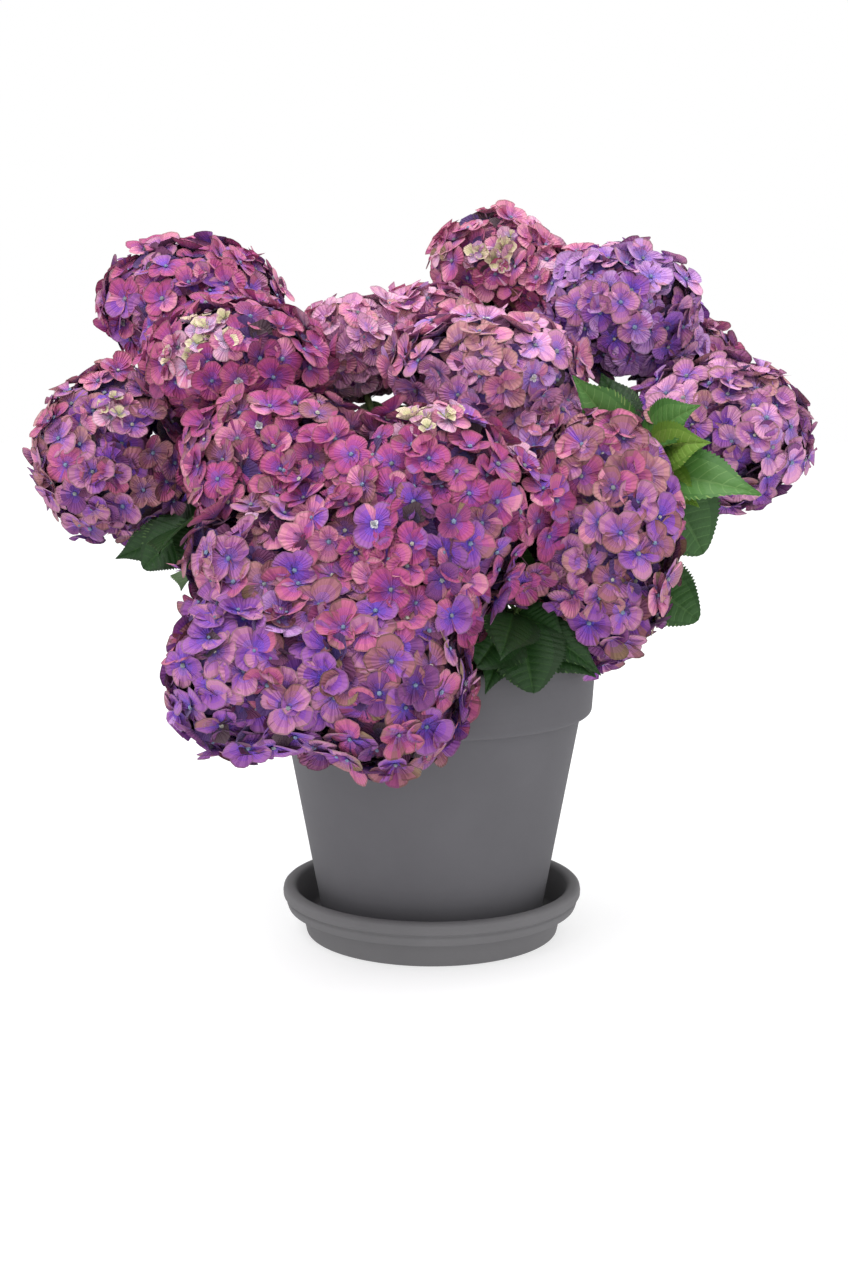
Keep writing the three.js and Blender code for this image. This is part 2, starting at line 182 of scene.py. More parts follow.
# Petal pieces, and the heads whose petals each of them holds.
GROUPS = {
    "upper_left": ("back_left", "upper_left"),
    "left": ("far_left", "middle_left"),
    "front": ("front_middle", "front_left", "low_left", "low_middle"),
    "right": ("front_right", "centre_right", "far_right"),
    "upper_back": (
        "back_middle_left", "back_middle", "back_top", "upper_right", "back_right_small",
    ),
    "rear": ("rear_left", "rear_middle", "rear_right", "rear_far_left", "rear_low"),
}
GROUP_OF = {name: group for group, names in GROUPS.items() for name in names}

# Heads whose florets sit closer in than the others'.
SNUG = {
    "back_top": 0.92, "upper_right": 0.95, "back_left": 0.96, "front_right": 0.95,
    "low_left": 0.94, "back_middle": 0.93,
}
# Heads with calmer, closer florets, and their spacing against the others'.
CLOSE_HEADS = {
    "back_middle_left": 0.8, "back_middle": 0.86, "back_right_small": 0.92, "back_top": 0.92,
}
CLOSE_RUFFLE = 0.6
# Heads with the palest tints: partly their own pale colour and partly painted light against the shade of
# the heads round them. Their sunken florets take a lighter painted shade.
PALE_PAINTED_LIGHT_HEADS = ("back_middle_left", "back_middle")
# Heads with bigger florets: spacing and petal length against the others'.
BIG_FLORETS = dict.fromkeys(("front_left", "low_left", "low_middle", "front_right"), (1.1, 1.12))

# ---- leafy shoots: name, tip, led leaves (tip, width, share along the shoot, lean, tint) ----
SHOOTS = [
    ("right", (172, -12, 390), [
        (112, -24, 461, 42, 0.97, 3, "lime"),
        (206, -62, 440, 46, 0.97, 1, "fresh"),
        (253, -80, 374, 50, 0.9, 1, "fresh"),
        (220, -14, 317, 66, 0.98, 7, "mid"),
        (150, 34, 464, 38, 0.94, 2, "mid"),
    ]),
    ("front_middle", (66, -98, 284), [
        (34, -148, 250, 54, 0.97, 2, "dark"),
        (76, -144, 229, 60, 0.97, 4, "dark"),
        (128, -128, 240, 30, 0.85, 2, "dark"),
        (40, -152, 230, 34, 0.78, 4, "dark"),
    ]),
    ("left", (-190, -14, 346), [
        (-257, -12, 313, 30, 0.97, 2, "dark"),
        (-232, -30, 308, 46, 0.97, 4, "dark"),
        (-196, -40, 309, 52, 0.9, 4, "dark"),
    ]),
    ("right_low", (162, 6, 306), [
        (214, -30, 266, 54, 0.97, 7, "mid"),
        (158, -62, 244, 34, 0.85, 7, "mid"),
    ]),
    ("middle", (-24, 84, 372), [
        (-25, 70, 448, 44, 0.97, 2, "dark"),
    ]),
    ("back_left", (-120, 120, 270), []),
    ("back_right", (118, 150, 268), []),
    ("back_middle", (62, 190, 262), []),
    ("left_low", (-150, 40, 270), []),
    ("right_side", (196, 78, 330), []),
    ("left_side", (-214, 66, 312), []),
    ("rear_upper", (-12, 186, 432), []),
]

# Tints of the seeded leaves in their order, where the photo shows them.
SEEDED_TINTS = {
    "right": ("lime", "mid", "mid"),
    "front_middle": ("dark", "dark", "dark"),
    "left": ("dark", "dark", "dark", "dark"),
}
# Small leaves grown on from a shoot: shoot, tip, width, share along the shoot, lean, tint.
GROWN_ON = [
    ("right", (138, 28, 462), 40, 0.94, 6, "dark"),
    ("right", (110, -66, 462), 44, 0.97, 3, "fresh"),
    ("right", (56, 8, 414), 46, 0.9, 4, "dark"),
    ("right", (212, -82, 412), 40, 0.97, 3, "lime"),
    ("right", (206, -74, 362), 34, 0.97, 4, "lime"),
    ("front_middle", (28, -58, 322), 34, 0.97, 6, "dark"),
    ("front_middle", (88, -78, 316), 30, 0.97, 6, "dark"),
    ("front_middle", (30, -66, 280), 42, 0.985, 6, "dark"),
    ("front_middle", (102, -118, 262), 30, 0.9, 5, "dark"),
]

# ---- petal tints: sRGB at the heart, then outward to the rim ----
PETAL_TINTS = {
    "magenta": ((132, 84, 190), (146, 70, 160), (160, 64, 136), (168, 70, 122), (156, 78, 106)),
    "rose": ((146, 94, 188), (162, 84, 162), (178, 84, 142), (182, 94, 130), (168, 100, 114)),
    "blush": ((170, 124, 196), (188, 114, 176), (202, 118, 164), (208, 132, 158), (202, 142, 152)),
    "mauve": ((132, 104, 206), (152, 100, 188), (170, 104, 168), (180, 118, 154), (168, 122, 134)),
    "violet": ((108, 84, 210), (122, 74, 190), (136, 74, 174), (148, 86, 160), (148, 96, 144)),
    "lilac": ((138, 122, 220), (156, 118, 204), (172, 124, 196), (184, 136, 194), (186, 148, 198)),
    "blue_violet": ((112, 98, 216), (124, 84, 198), (138, 86, 186), (150, 96, 184), (158, 112, 188)),
    "russet": ((130, 92, 180), (142, 88, 150), (150, 90, 124), (148, 92, 104), (128, 86, 84)),
    "tan": ((148, 112, 188), (162, 112, 162), (174, 118, 140), (182, 126, 132), (178, 132, 130)),
    "olive": ((130, 98, 176), (134, 94, 138), (134, 98, 102), (132, 104, 82), (134, 108, 84)),
    # The next two tints are darker copies of magenta and violet, dealt only at the heads' feet and in the
    # pale heads' sunken florets: painted shade.
    "deep": ((114, 74, 176), (124, 58, 134), (132, 54, 112), (138, 58, 106), (136, 66, 108)),
    "dusk": ((98, 72, 176), (104, 56, 144), (110, 54, 122), (118, 60, 118), (118, 68, 116)),
    "pale": ((204, 190, 222), (206, 170, 206), (210, 160, 192), (214, 162, 186), (214, 176, 190)),
    "haze": ((170, 146, 226), (188, 138, 206), (204, 142, 192), (212, 150, 186), (206, 152, 176)),
    "cream": ((202, 204, 150), (216, 208, 164), (226, 208, 180), (226, 196, 182), (214, 166, 174)),
    "star": ((226, 228, 232), (236, 236, 240), (238, 238, 242), (236, 236, 238), (230, 230, 232)),
    # The last three tints are painted shade: very dark petals for the sunken florets in the gaps between
    # the outer florets.
    "painted_shade_rose": ((96, 52, 104), (98, 44, 84), (98, 44, 74), (98, 48, 70), (88, 44, 64)),
    "painted_shade_violet": ((74, 54, 122), (76, 46, 102), (78, 46, 92), (80, 50, 88), (74, 48, 78)),
    "painted_shade_olive": ((74, 58, 90), (76, 56, 66), (78, 62, 52), (76, 66, 48), (70, 62, 46)),
}

# How the tints are dealt on each head, at its top and at its foot. Only the foot mixes hold the darker
# copies of magenta and violet, as painted shade under the heads.
HEAD_TINTS = {
    "back_left": ("violet 2 magenta 3 mauve 3 blush 1 rose 3", "violet 3 magenta 4 mauve 2 rose 2"),
    "upper_left": ("magenta 4 rose 4 blush 1 pale 0.3", "magenta 5 rose 3 deep 1 blush 0.4"),
    "far_left": ("rose 2 tan 2 mauve 3 violet 1 blush 1", "violet 2 mauve 2 russet 1.4 dusk 1.6"),
    "middle_left": (
        "rose 4 magenta 3 blush 1 russet 1",
        "magenta 3 deep 2.4 dusk 0.8 russet 1 rose 2 olive 0.9",
    ),
    "front_middle": (
        "magenta 4 rose 4 blush 1",
        "violet 3 deep 1.4 magenta 2 russet 2 dusk 0.9 olive 0.4",
    ),
    "front_left": ("mauve 3 rose 3 blush 2 tan 1", "mauve 3 violet 3 russet 1.4 olive 0.6"),
    "low_left": ("mauve 4 rose 2 violet 2 russet 1 lilac 1", "violet 4 mauve 2 dusk 1 russet 1 olive 0.4"),
    "low_middle": (
        "rose 2 mauve 1 russet 3 violet 2",
        "violet 1.6 dusk 1.6 russet 3 rose 1.4 olive 2 deep 1.4",
    ),
    "front_right": ("rose 2 tan 2 mauve 3 blush 1 russet 2", "violet 4 mauve 2 dusk 1 olive 1.4 russet 2"),
    # The pale tints of the next two heads are partly painted light.
    "back_middle_left": ("pale 4 tan 1 haze 5 blush 2", "haze 5 tan 0.4 pale 6"),
    "back_middle": ("haze 3 tan 1.4 pale 1.5 blush 2", "haze 3 tan 1 pale 1 blush 2"),
    "centre_right": ("haze 3 tan 2.4 blush 2 mauve 2", "mauve 2 haze 3 tan 1 lilac 2"),
    "back_top": ("rose 4 blush 4 pale 1.4", "magenta 1.4 rose 3 olive 0.5 blush 3"),
    "upper_right": (
        "lilac 4 blue_violet 1 haze 2 mauve 2",
        "blue_violet 1.4 violet 2 lilac 3 haze 1 mauve 2",
    ),
    "back_right_small": ("mauve 2 tan 2 rose 1 blush 1", "mauve 2 violet 1"),
    "far_right": ("mauve 3 haze 2 tan 1 lilac 1", "violet 3 mauve 2 dusk 0.6 haze 0.6"),
    "rear_left": ("rose 2 mauve 2 magenta 1 blush 1", "violet 2 mauve 1 dusk 1 olive 0.4"),
    "rear_middle": ("mauve 2 tan 2 violet 1 blush 1", "violet 2 mauve 1 dusk 1 olive 0.4"),
    "rear_right": ("blue_violet 2 violet 2 lilac 1", "violet 2 dusk 1"),
    "rear_far_left": ("magenta 2 violet 2 mauve 1", "violet 2 dusk 1"),
    "rear_low": ("mauve 2 rose 2 tan 1", "violet 2 dusk 1 olive 0.6"),
}

# Young cream florets sit together round these directions: head, direction, half angle in degrees.
YOUNG = [
    ("upper_left", (-0.3, -0.8, 0.5), 22),
    ("upper_left", (-0.6, -0.8, 0.1), 12),
    ("back_top", (0.0, -0.95, 0.25), 26),
    ("front_middle", (-0.12, -0.3, 1.0), 20),
    ("far_left", (0.1, -0.8, 0.55), 11),
    ("front_left", (-0.2, -0.55, 0.8), 10),
]

# Heads that press on each other so hard that florets close the valley between them,
# and the size of the round mass between them against the two heads' mean.
BRIDGES = [
    ("low_left", "low_middle", 0.9),
    ("low_left", "front_left", 0.74),
    ("low_middle", "front_left", 0.82),
    ("front_middle", "front_left", 0.82),
    ("front_middle", "low_middle", 0.84),
    ("front_middle", "middle_left", 0.86),
    ("middle_left", "front_left", 0.76),
    ("back_left", "upper_left", 0.7),
    ("back_middle", "back_middle_left", 0.76),
    ("centre_right", "back_middle", 0.74),
    ("centre_right", "front_right", 0.58),
    ("front_middle", "front_right", 0.58),
    ("upper_right", "back_right_small", 0.8),
    ("back_top", "upper_right", 0.66),
    ("rear_middle", "rear_left", 0.86),
    ("rear_middle", "rear_right", 0.86),
    ("rear_left", "rear_far_left", 0.86),
    ("rear_low", "rear_middle", 0.86),
    ("rear_low", "rear_left", 0.86),
]

# Leaf tints, sRGB, by the blade's zones.
LEAF_ZONES = ("blade", "margin", "vein", "underside")
LEAF_TINTS = {
    "lime": ((112, 148, 58), (98, 136, 50), (136, 168, 80), (150, 176, 84)),
    "fresh": ((80, 124, 60), (68, 112, 52), (102, 142, 78), (128, 158, 88)),
    "mid": ((54, 92, 44), (46, 82, 38), (72, 110, 58), (104, 136, 76)),
    "dark": ((31, 62, 26), (27, 54, 22), (45, 78, 34), (76, 104, 58)),
}

LEAF_MIX = ("dark", "mid", "mid", "fresh")

# Open places in the crown as the front camera sees them: picture place and half size, pixels.
OPENINGS = [
    (363, 409, 13, 10),
    (629, 379, 10, 6),
]
OPENING_GROWTH = 0.45  # share of a petal's length that an opening is widened by
# Places where no leaf stands before the sky.
LEAF_SKY = [
    (748, 580, 34, 26),
    (690, 454, 8, 12),
    (168, 577, 14, 12),
    (112, 586, 12, 12),
]
CAMERA_PLACE = (-6.5, -1645.0, 520.0)
CAMERA_DIP = 9.287
CAMERA_LENS = 57.87
CAMERA_FOCAL = 2032.0  # pixels of the picture
IMAGE_MIDDLE = (424, 632)


# ---- small tools ----
def linear(rgb):
    """The linear colour of an sRGB one from 0 to 255."""
    values = []
    for value in rgb:
        share = value / 255
        values.append(share / 12.92 if share <= 0.04045 else ((share + 0.055) / 1.055) ** 2.4)
    return (*values, 1.0)


def unit(v):
    v = np.asarray(v, float)
    return v / np.linalg.norm(v, axis=-1, keepdims=True)


def random_from(seed):
    """The solids' own number rule, so that the same seed grows the same leaves."""
    state = seed

    def step():
        nonlocal state
        state = (state * 1664525 + 1013904223) % 4294967296
        return state / 4294967296

    return step


def square_to(normals, rng):
    """Two directions square to each normal and to each other, turned at random."""
    pick = unit(rng.normal(0, 1, (len(normals), 3)))
    sides = unit(pick - normals * np.sum(pick * normals, axis=1, keepdims=True))
    return sides, np.cross(normals, sides)


def mesh_object(name, points, faces, slots, materials, maps=None):
    """Mesh from points in millimetres. faces is a list of index arrays, one per face size."""
    mesh = bpy.data.meshes.new(name)
    mesh.vertices.add(len(points))
    mesh.vertices.foreach_set("co", (np.asarray(points, np.float32) * MM).ravel())
    loops = np.concatenate([group.ravel() for group in faces]).astype(np.int32)
    totals = np.concatenate([np.full(len(group), group.shape[1]) for group in faces])
    totals = totals.astype(np.int32)
    starts = np.concatenate(([0], np.cumsum(totals)[:-1])).astype(np.int32)
    mesh.loops.add(len(loops))
    mesh.loops.foreach_set("vertex_index", loops)
    mesh.polygons.add(len(totals))
    mesh.polygons.foreach_set("loop_start", starts)
    mesh.polygons.foreach_set("loop_total", totals)
    mesh.polygons.foreach_set("material_index", np.asarray(slots, np.int32))
    mesh.polygons.foreach_set("use_smooth", np.full(len(totals), True))
    for material in materials:
        mesh.materials.append(material)
    if maps is not None:
        for map_name in ("grain", "OFBake"):
            layer = mesh.uv_layers.new(name=map_name)
            layer.data.foreach_set("uv", np.asarray(maps, np.float32)[loops].ravel())
    mesh.update(calc_edges=True)
    mesh.validate()
    obj = bpy.data.objects.new(name, mesh)
    bpy.context.scene.collection.objects.link(obj)
    return obj


def empty_parts():
    return {"points": [], "quads": [], "slots": [], "maps": [], "count": 0}


def add_part(parts, points, quads, slots, maps):
    parts["points"].append(points)
    parts["quads"].append(np.array(quads) + parts["count"])
    parts["slots"].append(np.array(slots))
    parts["maps"].append(maps)
    parts["count"] += len(points)


def parts_object(name, parts, materials):
    return mesh_object(
        name, np.concatenate(parts["points"]), [np.concatenate(parts["quads"])],
        np.concatenate(parts["slots"]), materials, np.concatenate(parts["maps"]),
    )


def finish_piece(obj, nodes=()):
    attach(obj, "root")
    if nodes:
        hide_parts(*nodes)


# ---- layout: heads, first directions and limb curves, as in the solids ----
CROWN = np.array((0.0, 0.0, CROWN_Z))
UP = np.array((0.0, 0.0, 1.0))

heads = []
for index, (name, x, y, z, across, tall) in enumerate(HEADS):
    centre = np.array((x, y, z), float)
    radii = np.array((across, across, tall), float)
    facing = unit((0.55 * x, 0.55 * y, 0.45 * (z - 250)))
    reach = 1 / np.linalg.norm(facing / radii)
    stem_foot = centre - facing * (CORE_SHARE * reach + HEAD_STEM_LENGTH)
    heads.append({
        "name": name, "centre": centre, "radii": radii, "facing": facing, "reach": reach,
        "stem_foot": stem_foot, "seed": 101 + 17 * index,
    })
shoots = []
for index, (name, tip, led) in enumerate(SHOOTS):
    shoots.append({"name": name, "tip": np.array(tip, float), "led": led, "seed": 907 + 31 * index})


def spread_directions(targets):
    """Directions from the crown to the targets, pushed apart until none are too close."""
    directions = [unit(target - CROWN) for target in targets]
    least = math.radians(CANE_SPREAD)
    for _ in range(SPREAD_ROUNDS):
        for i in range(len(directions)):
            for k in range(i + 1, len(directions)):
                angle = math.acos(max(-1.0, min(1.0, float(directions[i] @ directions[k]))))
                if angle < least:
                    push = unit(directions[i] - directions[k]) * (least - angle) * 0.5
                    directions[i] = unit(directions[i] + push)
                    directions[k] = unit(directions[k] - push)
            directions[i][2] = max(directions[i][2], CANE_LEAST_RISE)
            directions[i] = unit(directions[i])
    return directions


class Curve:
    """Cubic curve from the crown to a limb's end."""

    def __init__(self, first, end, arriving):
        foot = CROWN + first * (CROWN_R - CROWN_SINK)
        span = np.linalg.norm(end - foot)
        self.points = (foot, foot + first * 0.4 * span, end - arriving * 0.34 * span, end)

    def at(self, t):
        a, b, c, d = self.points
        s = 1 - t
        return a * s**3 + b * 3 * s * s * t + c * 3 * s * t * t + d * t**3

    def tangent(self, t):
        low, high = max(t - 0.0001, 0), min(t + 0.0001, 1)
        return unit(self.at(high) - self.at(low))

    def leaf_pair(self, share):
        """Foot of a leaf pair, the curve's way there, and the level way across it."""
        ahead = self.tangent(share)
        return self.at(share), ahead, unit(np.cross(ahead, UP))


firsts = spread_directions([h["stem_foot"] for h in heads] + [s["tip"] for s in shoots])
for head, first in zip(heads, firsts):
    head["curve"] = Curve(first, head["stem_foot"] - head["facing"] * GAP, head["facing"])
for shoot, first in zip(shoots, firsts[len(heads):]):
    outward = unit((shoot["tip"][0], shoot["tip"][1], 12))
    shoot["curve"] = Curve(first, shoot["tip"], outward)

by_name = {head["name"]: head for head in heads}
bridges = []
for first, second, size in BRIDGES:
    pair = (by_name[first], by_name[second])
    bridges.append({
        "name": first,
        "centre": (pair[0]["centre"] + pair[1]["centre"]) / 2,
        "radii": (pair[0]["radii"] + pair[1]["radii"]) / 2 * size,
        "facing": unit(pair[0]["facing"] + pair[1]["facing"]),
        "seed": pair[0]["seed"] + pair[1]["seed"],
    })
masses = heads + bridges
CENTRES = np.array([mass["centre"] for mass in masses])
RADII = np.array([mass["radii"] for mass in masses])


def depths(points):
    """How far points lie from every head's and bridge's middle, in its own radii."""
    return np.linalg.norm((points[..., None, :] - CENTRES) / RADII, axis=-1)


def own_space(index, points, margin):
    """True where a point lies nearer to its own mass than to every other, give or take a margin."""
    depth = depths(points)
    own = depth[..., index]
    others = np.delete(depth, index, axis=-1).min(axis=-1)
    return others > own + margin


def in_opening(points, girth, openings=OPENINGS):
    """True where a point, grown by a girth in millimetres, stands in one of the open places."""
    dip = math.radians(CAMERA_DIP)
    ahead = points[:, 1] - CAMERA_PLACE[1]
    above = points[:, 2] - CAMERA_PLACE[2]
    depth = ahead * math.cos(dip) - above * math.sin(dip)
    rise = ahead * math.sin(dip) + above * math.cos(dip)
    right = IMAGE_MIDDLE[0] + CAMERA_FOCAL * (points[:, 0] - CAMERA_PLACE[0]) / depth
    down = IMAGE_MIDDLE[1] - CAMERA_FOCAL * rise / depth
    grow = girth * CAMERA_FOCAL / depth
    inside = np.zeros(len(points), bool)
    for x, y, wide, tall in openings:
        inside |= ((right - x) / (wide + grow)) ** 2 + ((down - y) / (tall + grow)) ** 2 < 1
    return inside


def hidden(points):
    """True where heads stand between the front camera and every one of the points."""
    start = (np.array(CAMERA_PLACE) - CENTRES) / RADII
    step = (points - np.array(CAMERA_PLACE))[:, None, :] / RADII
    reach = np.clip(-np.sum(start * step, axis=-1) / np.sum(step * step, axis=-1), 0, 1)
    nearest = np.linalg.norm(start + step * reach[..., None], axis=-1)
    return bool(((nearest < HIDING_DEPTH) & (reach < 0.99)).any(axis=1).all())


# ---- materials ----
def put(node, values):
    """Sets a node's inputs by name."""
    for socket, value in values.items():
        node.inputs[socket].default_value = value


def new_material(name, values):
    material = bpy.data.materials.new(name)
    material.use_nodes = True
    shader = material.node_tree.nodes["Principled BSDF"]
    put(shader, values)
    return material, material.node_tree, shader


def texture(tree, node, where, values):
    """Sets a texture node's values and the coordinates it reads."""
    put(node, values)
    tree.links.new(where, node.inputs["Vector"])


def along_map(tree):
    """Coordinates that run along a petal, leaf or stem."""
    uv = tree.nodes.new("ShaderNodeUVMap")
    uv.uv_map = "grain"
    return uv.outputs["UV"]


def in_object(tree):
    return tree.nodes.new("ShaderNodeTexCoord").outputs["Object"]


def relief(tree, shader, height, strength, distance):
    bump = tree.nodes.new("ShaderNodeBump")
    put(bump, {"Strength": strength, "Distance": distance})
    tree.links.new(height, bump.inputs["Height"])
    tree.links.new(bump.outputs["Normal"], shader.inputs["Normal"])


def two_tones(tree, shader, factor, dark, light):
    tone = tree.nodes.new("ShaderNodeMix")
    tone.data_type = "RGBA"
    put(tone, {"A": linear(dark), "B": linear(light)})
    tree.links.new(factor, tone.inputs["Factor"])
    tree.links.new(tone.outputs["Result"], shader.inputs["Base Color"])


def petal_material(name, rgb):
    """Thin matt petal with fine radial veins pressed into it."""
    material, tree, shader = new_material(name, {
        "Base Color": linear(rgb), "Roughness": 0.62, "Specular IOR Level": 0.32,
        "Sheen Weight": 0.12, "Sheen Roughness": 0.5,
    })
    veins = tree.nodes.new("ShaderNodeTexWave")
    veins.bands_direction = "X"
    texture(tree, veins, along_map(tree), {
        "Scale": 3.6, "Distortion": 1.6, "Detail": 2.0, "Detail Scale": 2.0,
    })
    relief(tree, shader, veins.outputs["Fac"], 0.8, 0.0006)
    return material


def leaf_material(name, rgb, roughness):
    """Leaf skin, quilted between its smallest veins."""
    material, tree, shader = new_material(name, {
        "Base Color": linear(rgb), "Roughness": roughness, "Specular IOR Level": 0.28,
    })
    cells = tree.nodes.new("ShaderNodeTexVoronoi")
    cells.feature = "DISTANCE_TO_EDGE"
    texture(tree, cells, along_map(tree), {"Scale": 26.0})
    relief(tree, shader, cells.outputs["Distance"], 0.5, 0.0006)
    return material


def stem_material(name, rgb, roughness):
    """Bark or green stem with fine lengthwise ridges."""
    material, tree, shader = new_material(
        name, {"Base Color": linear(rgb), "Roughness": roughness}
    )
    ridges = tree.nodes.new("ShaderNodeTexNoise")
    texture(tree, ridges, along_map(tree), {"Scale": 9.0, "Detail": 5.0})
    relief(tree, shader, ridges.outputs["Fac"], 0.5, 0.0008)
    return material


def clay_material(name, rgb, ring_scale):
    """Matt fired clay: fine grain, faint turning rings and a slight uneven tone."""
    material, tree, shader = new_material(name, {"Roughness": 0.78, "Specular IOR Level": 0.3})
    where = in_object(tree)
    broad = tree.nodes.new("ShaderNodeTexNoise")
    texture(tree, broad, where, {"Scale": 14.0, "Detail": 6.0, "Roughness": 0.6})
    dark, light = ([value * share for value in rgb] for share in (0.93, 1.07))
    two_tones(tree, shader, broad.outputs["Fac"], dark, light)
    grain = tree.nodes.new("ShaderNodeTexNoise")
    texture(tree, grain, where, {"Scale": 900.0, "Detail": 3.0})
    rings = tree.nodes.new("ShaderNodeTexWave")
    rings.bands_direction = "Z"
    texture(tree, rings, where, {"Scale": ring_scale, "Distortion": 0.6})
    both = tree.nodes.new("ShaderNodeMath")
    both.operation = "MULTIPLY_ADD"
    both.inputs[1].default_value = 0.35
    tree.links.new(rings.outputs["Fac"], both.inputs[0])
    tree.links.new(grain.outputs["Fac"], both.inputs[2])
    relief(tree, shader, both.outputs["Value"], 0.22, 0.0004)
    return material


def mixed_material(name, dark, light, scale, strength):
    """Soil or wood: noise between two tones with matching relief."""
    material, tree, shader = new_material(name, {"Roughness": 0.9})
    noise = tree.nodes.new("ShaderNodeTexNoise")
    texture(tree, noise, in_object(tree), {"Scale": scale, "Detail": 8.0, "Roughness": 0.65})
    two_tones(tree, shader, noise.outputs["Fac"], dark, light)
    relief(tree, shader, noise.outputs["Fac"], strength, 0.002)
    return material


# ---- petals ----
class PetalTemplate:
    """Rays and rows of one petal, its faces, and each face's zone: rows outward, vein or blade.

    Narrow veins lie along both sides and between the broad rays of the blade.
    """

    def __init__(self, veins, rows):
        columns = 2 * veins - 1
        widths = np.where(np.arange(columns) % 2, 1.0, PETAL_VEIN)
        edges = np.concatenate(([0.0], np.cumsum(widths)))
        self.rays = 2 * edges / edges[-1] - 1
        self.rows = np.array(rows)
        quads = []
        zones = []
        for row in range(len(rows) - 1):
            for k in range(columns):
                low = 1 + row * (columns + 1) + k
                high = low + columns + 1
                quads.append((low, high, high + 1, low + 1))
                zones.append(2 * (row + 1) + 1 - k % 2)
        self.fan = np.array([(0, 1 + k, 2 + k) for k in range(columns)])
        self.fan_zone = np.array([1 - k % 2 for k in range(columns)])
        self.quads = np.array(quads)
        self.zones = np.array(zones)
        spread = np.broadcast_arrays((self.rays[None, :] + 1) / 2, self.rows[:, None])
        self.maps = np.concatenate(([(0.5, 0.0)], np.stack(spread, axis=-1).reshape(-1, 2)))


OPEN_PETAL = PetalTemplate(PETAL_VEINS, PETAL_ROWS)
SUNKEN_PETAL = PetalTemplate(SUNKEN_VEINS, SUNKEN_ROWS)
YOUNG_PETAL = PetalTemplate(SUNKEN_VEINS, YOUNG_ROWS)
ZONES = 2 * len(PETAL_ROWS)
TINT_NAMES = list(PETAL_TINTS)
BLUSH, PALE, CREAM, STAR = (TINT_NAMES.index(name) for name in ("blush", "pale", "cream", "star"))
# Tints of the sunken florets: painted shade, darkest on most heads and lighter on the pale heads.
SUNKEN_PAINTED_SHADES = [TINT_NAMES.index(name) for name in ("painted_shade_rose", "painted_shade_violet", "painted_shade_olive")]
PALE_HEAD_PAINTED_SHADES = [TINT_NAMES.index(name) for name in ("deep", "russet", "dusk")]

# Faded olive and russet come as patches near the rim far more often than as a whole petal.
BLADE_SHARE = np.array([{"olive": 0.12, "russet": 0.7, "tan": 0.8}.get(t, 1) for t in TINT_NAMES])
PATCH_SHARE = np.array([{"olive": 2.6, "russet": 1.6, "tan": 1.4}.get(t, 1) for t in TINT_NAMES])


def tint_weights(text):
    weights = np.zeros(len(TINT_NAMES))
    words = text.split()
    for tint, weight in zip(words[::2], words[1::2]):
        weights[TINT_NAMES.index(tint)] = float(weight)
    return weights / weights.sum()


def deep(values):
    """One value per petal, ready to meet the petal's rows and rays."""
    return values[:, None, None]


def petal_points(template, petal, hearts, axes, lengths, cups, rng):
    """Points of one petal of many florets, one row of the result per floret."""
    normals, sides, others = axes
    count = len(hearts)
    angle = petal * math.pi / 2 + rng.uniform(-0.1, 0.1, count)
    length = lengths * rng.uniform(0.9, 1.06, count)
    cup = cups + rng.uniform(-0.16, 0.16, count)
    wave = rng.uniform(0.02, 0.09, count)
    phase = rng.uniform(0, PHASE_SPAN, count)
    theta = np.radians(PETAL_HALF_ANGLE) * template.rays[None, :] + np.zeros((count, 1))
    theta = theta + 0.07 * np.sin(2.6 * theta + rng.uniform(0, PHASE_SPAN, (count, 1)))
    edge = np.cos(1.26 * theta) ** 0.52
    edge = edge * (1 + 0.055 * np.sin(2.2 * theta + phase[:, None] * 3))
    edge = edge * (1 + rng.uniform(-0.012, 0.012, theta.shape))
    tip = np.exp(-((theta / 0.2) ** 2))
    edge = edge * (1 + rng.uniform(-0.05, 0.03, (count, 1)) * tip)
    share = template.rows[None, :, None]
    radius = share * edge[:, None, :] * deep(length)
    theta = theta[:, None, :]
    height = deep(cup * length) * share**1.8 * (0.6 + 0.4 * np.cos(theta))
    height = height + deep(wave * length) * share**2.4 * np.sin(3.1 * theta + deep(phase))
    height = height + deep(rng.uniform(-0.1, 0.2, count) * length) * share**2 * theta**2
    height = height + deep(rng.uniform(-0.16, 0.07, count) * length) * share**5
    # Every second petal of a floret lies a little over its neighbours.
    height = height + (PETAL_OVERLAP if petal % 2 else 0) * np.minimum(share * 2, 1)
    turn = theta + deep(angle)
    points = (
        hearts[:, None, None, :]
        + sides[:, None, None, :] * (radius * np.cos(turn))[..., None]
        + others[:, None, None, :] * (radius * np.sin(turn))[..., None]
        + normals[:, None, None, :] * height[..., None]
    ).reshape(count, -1, 3)
    middle = hearts - normals * 0.8
    return np.concatenate((middle[:, None, :], points), axis=1)


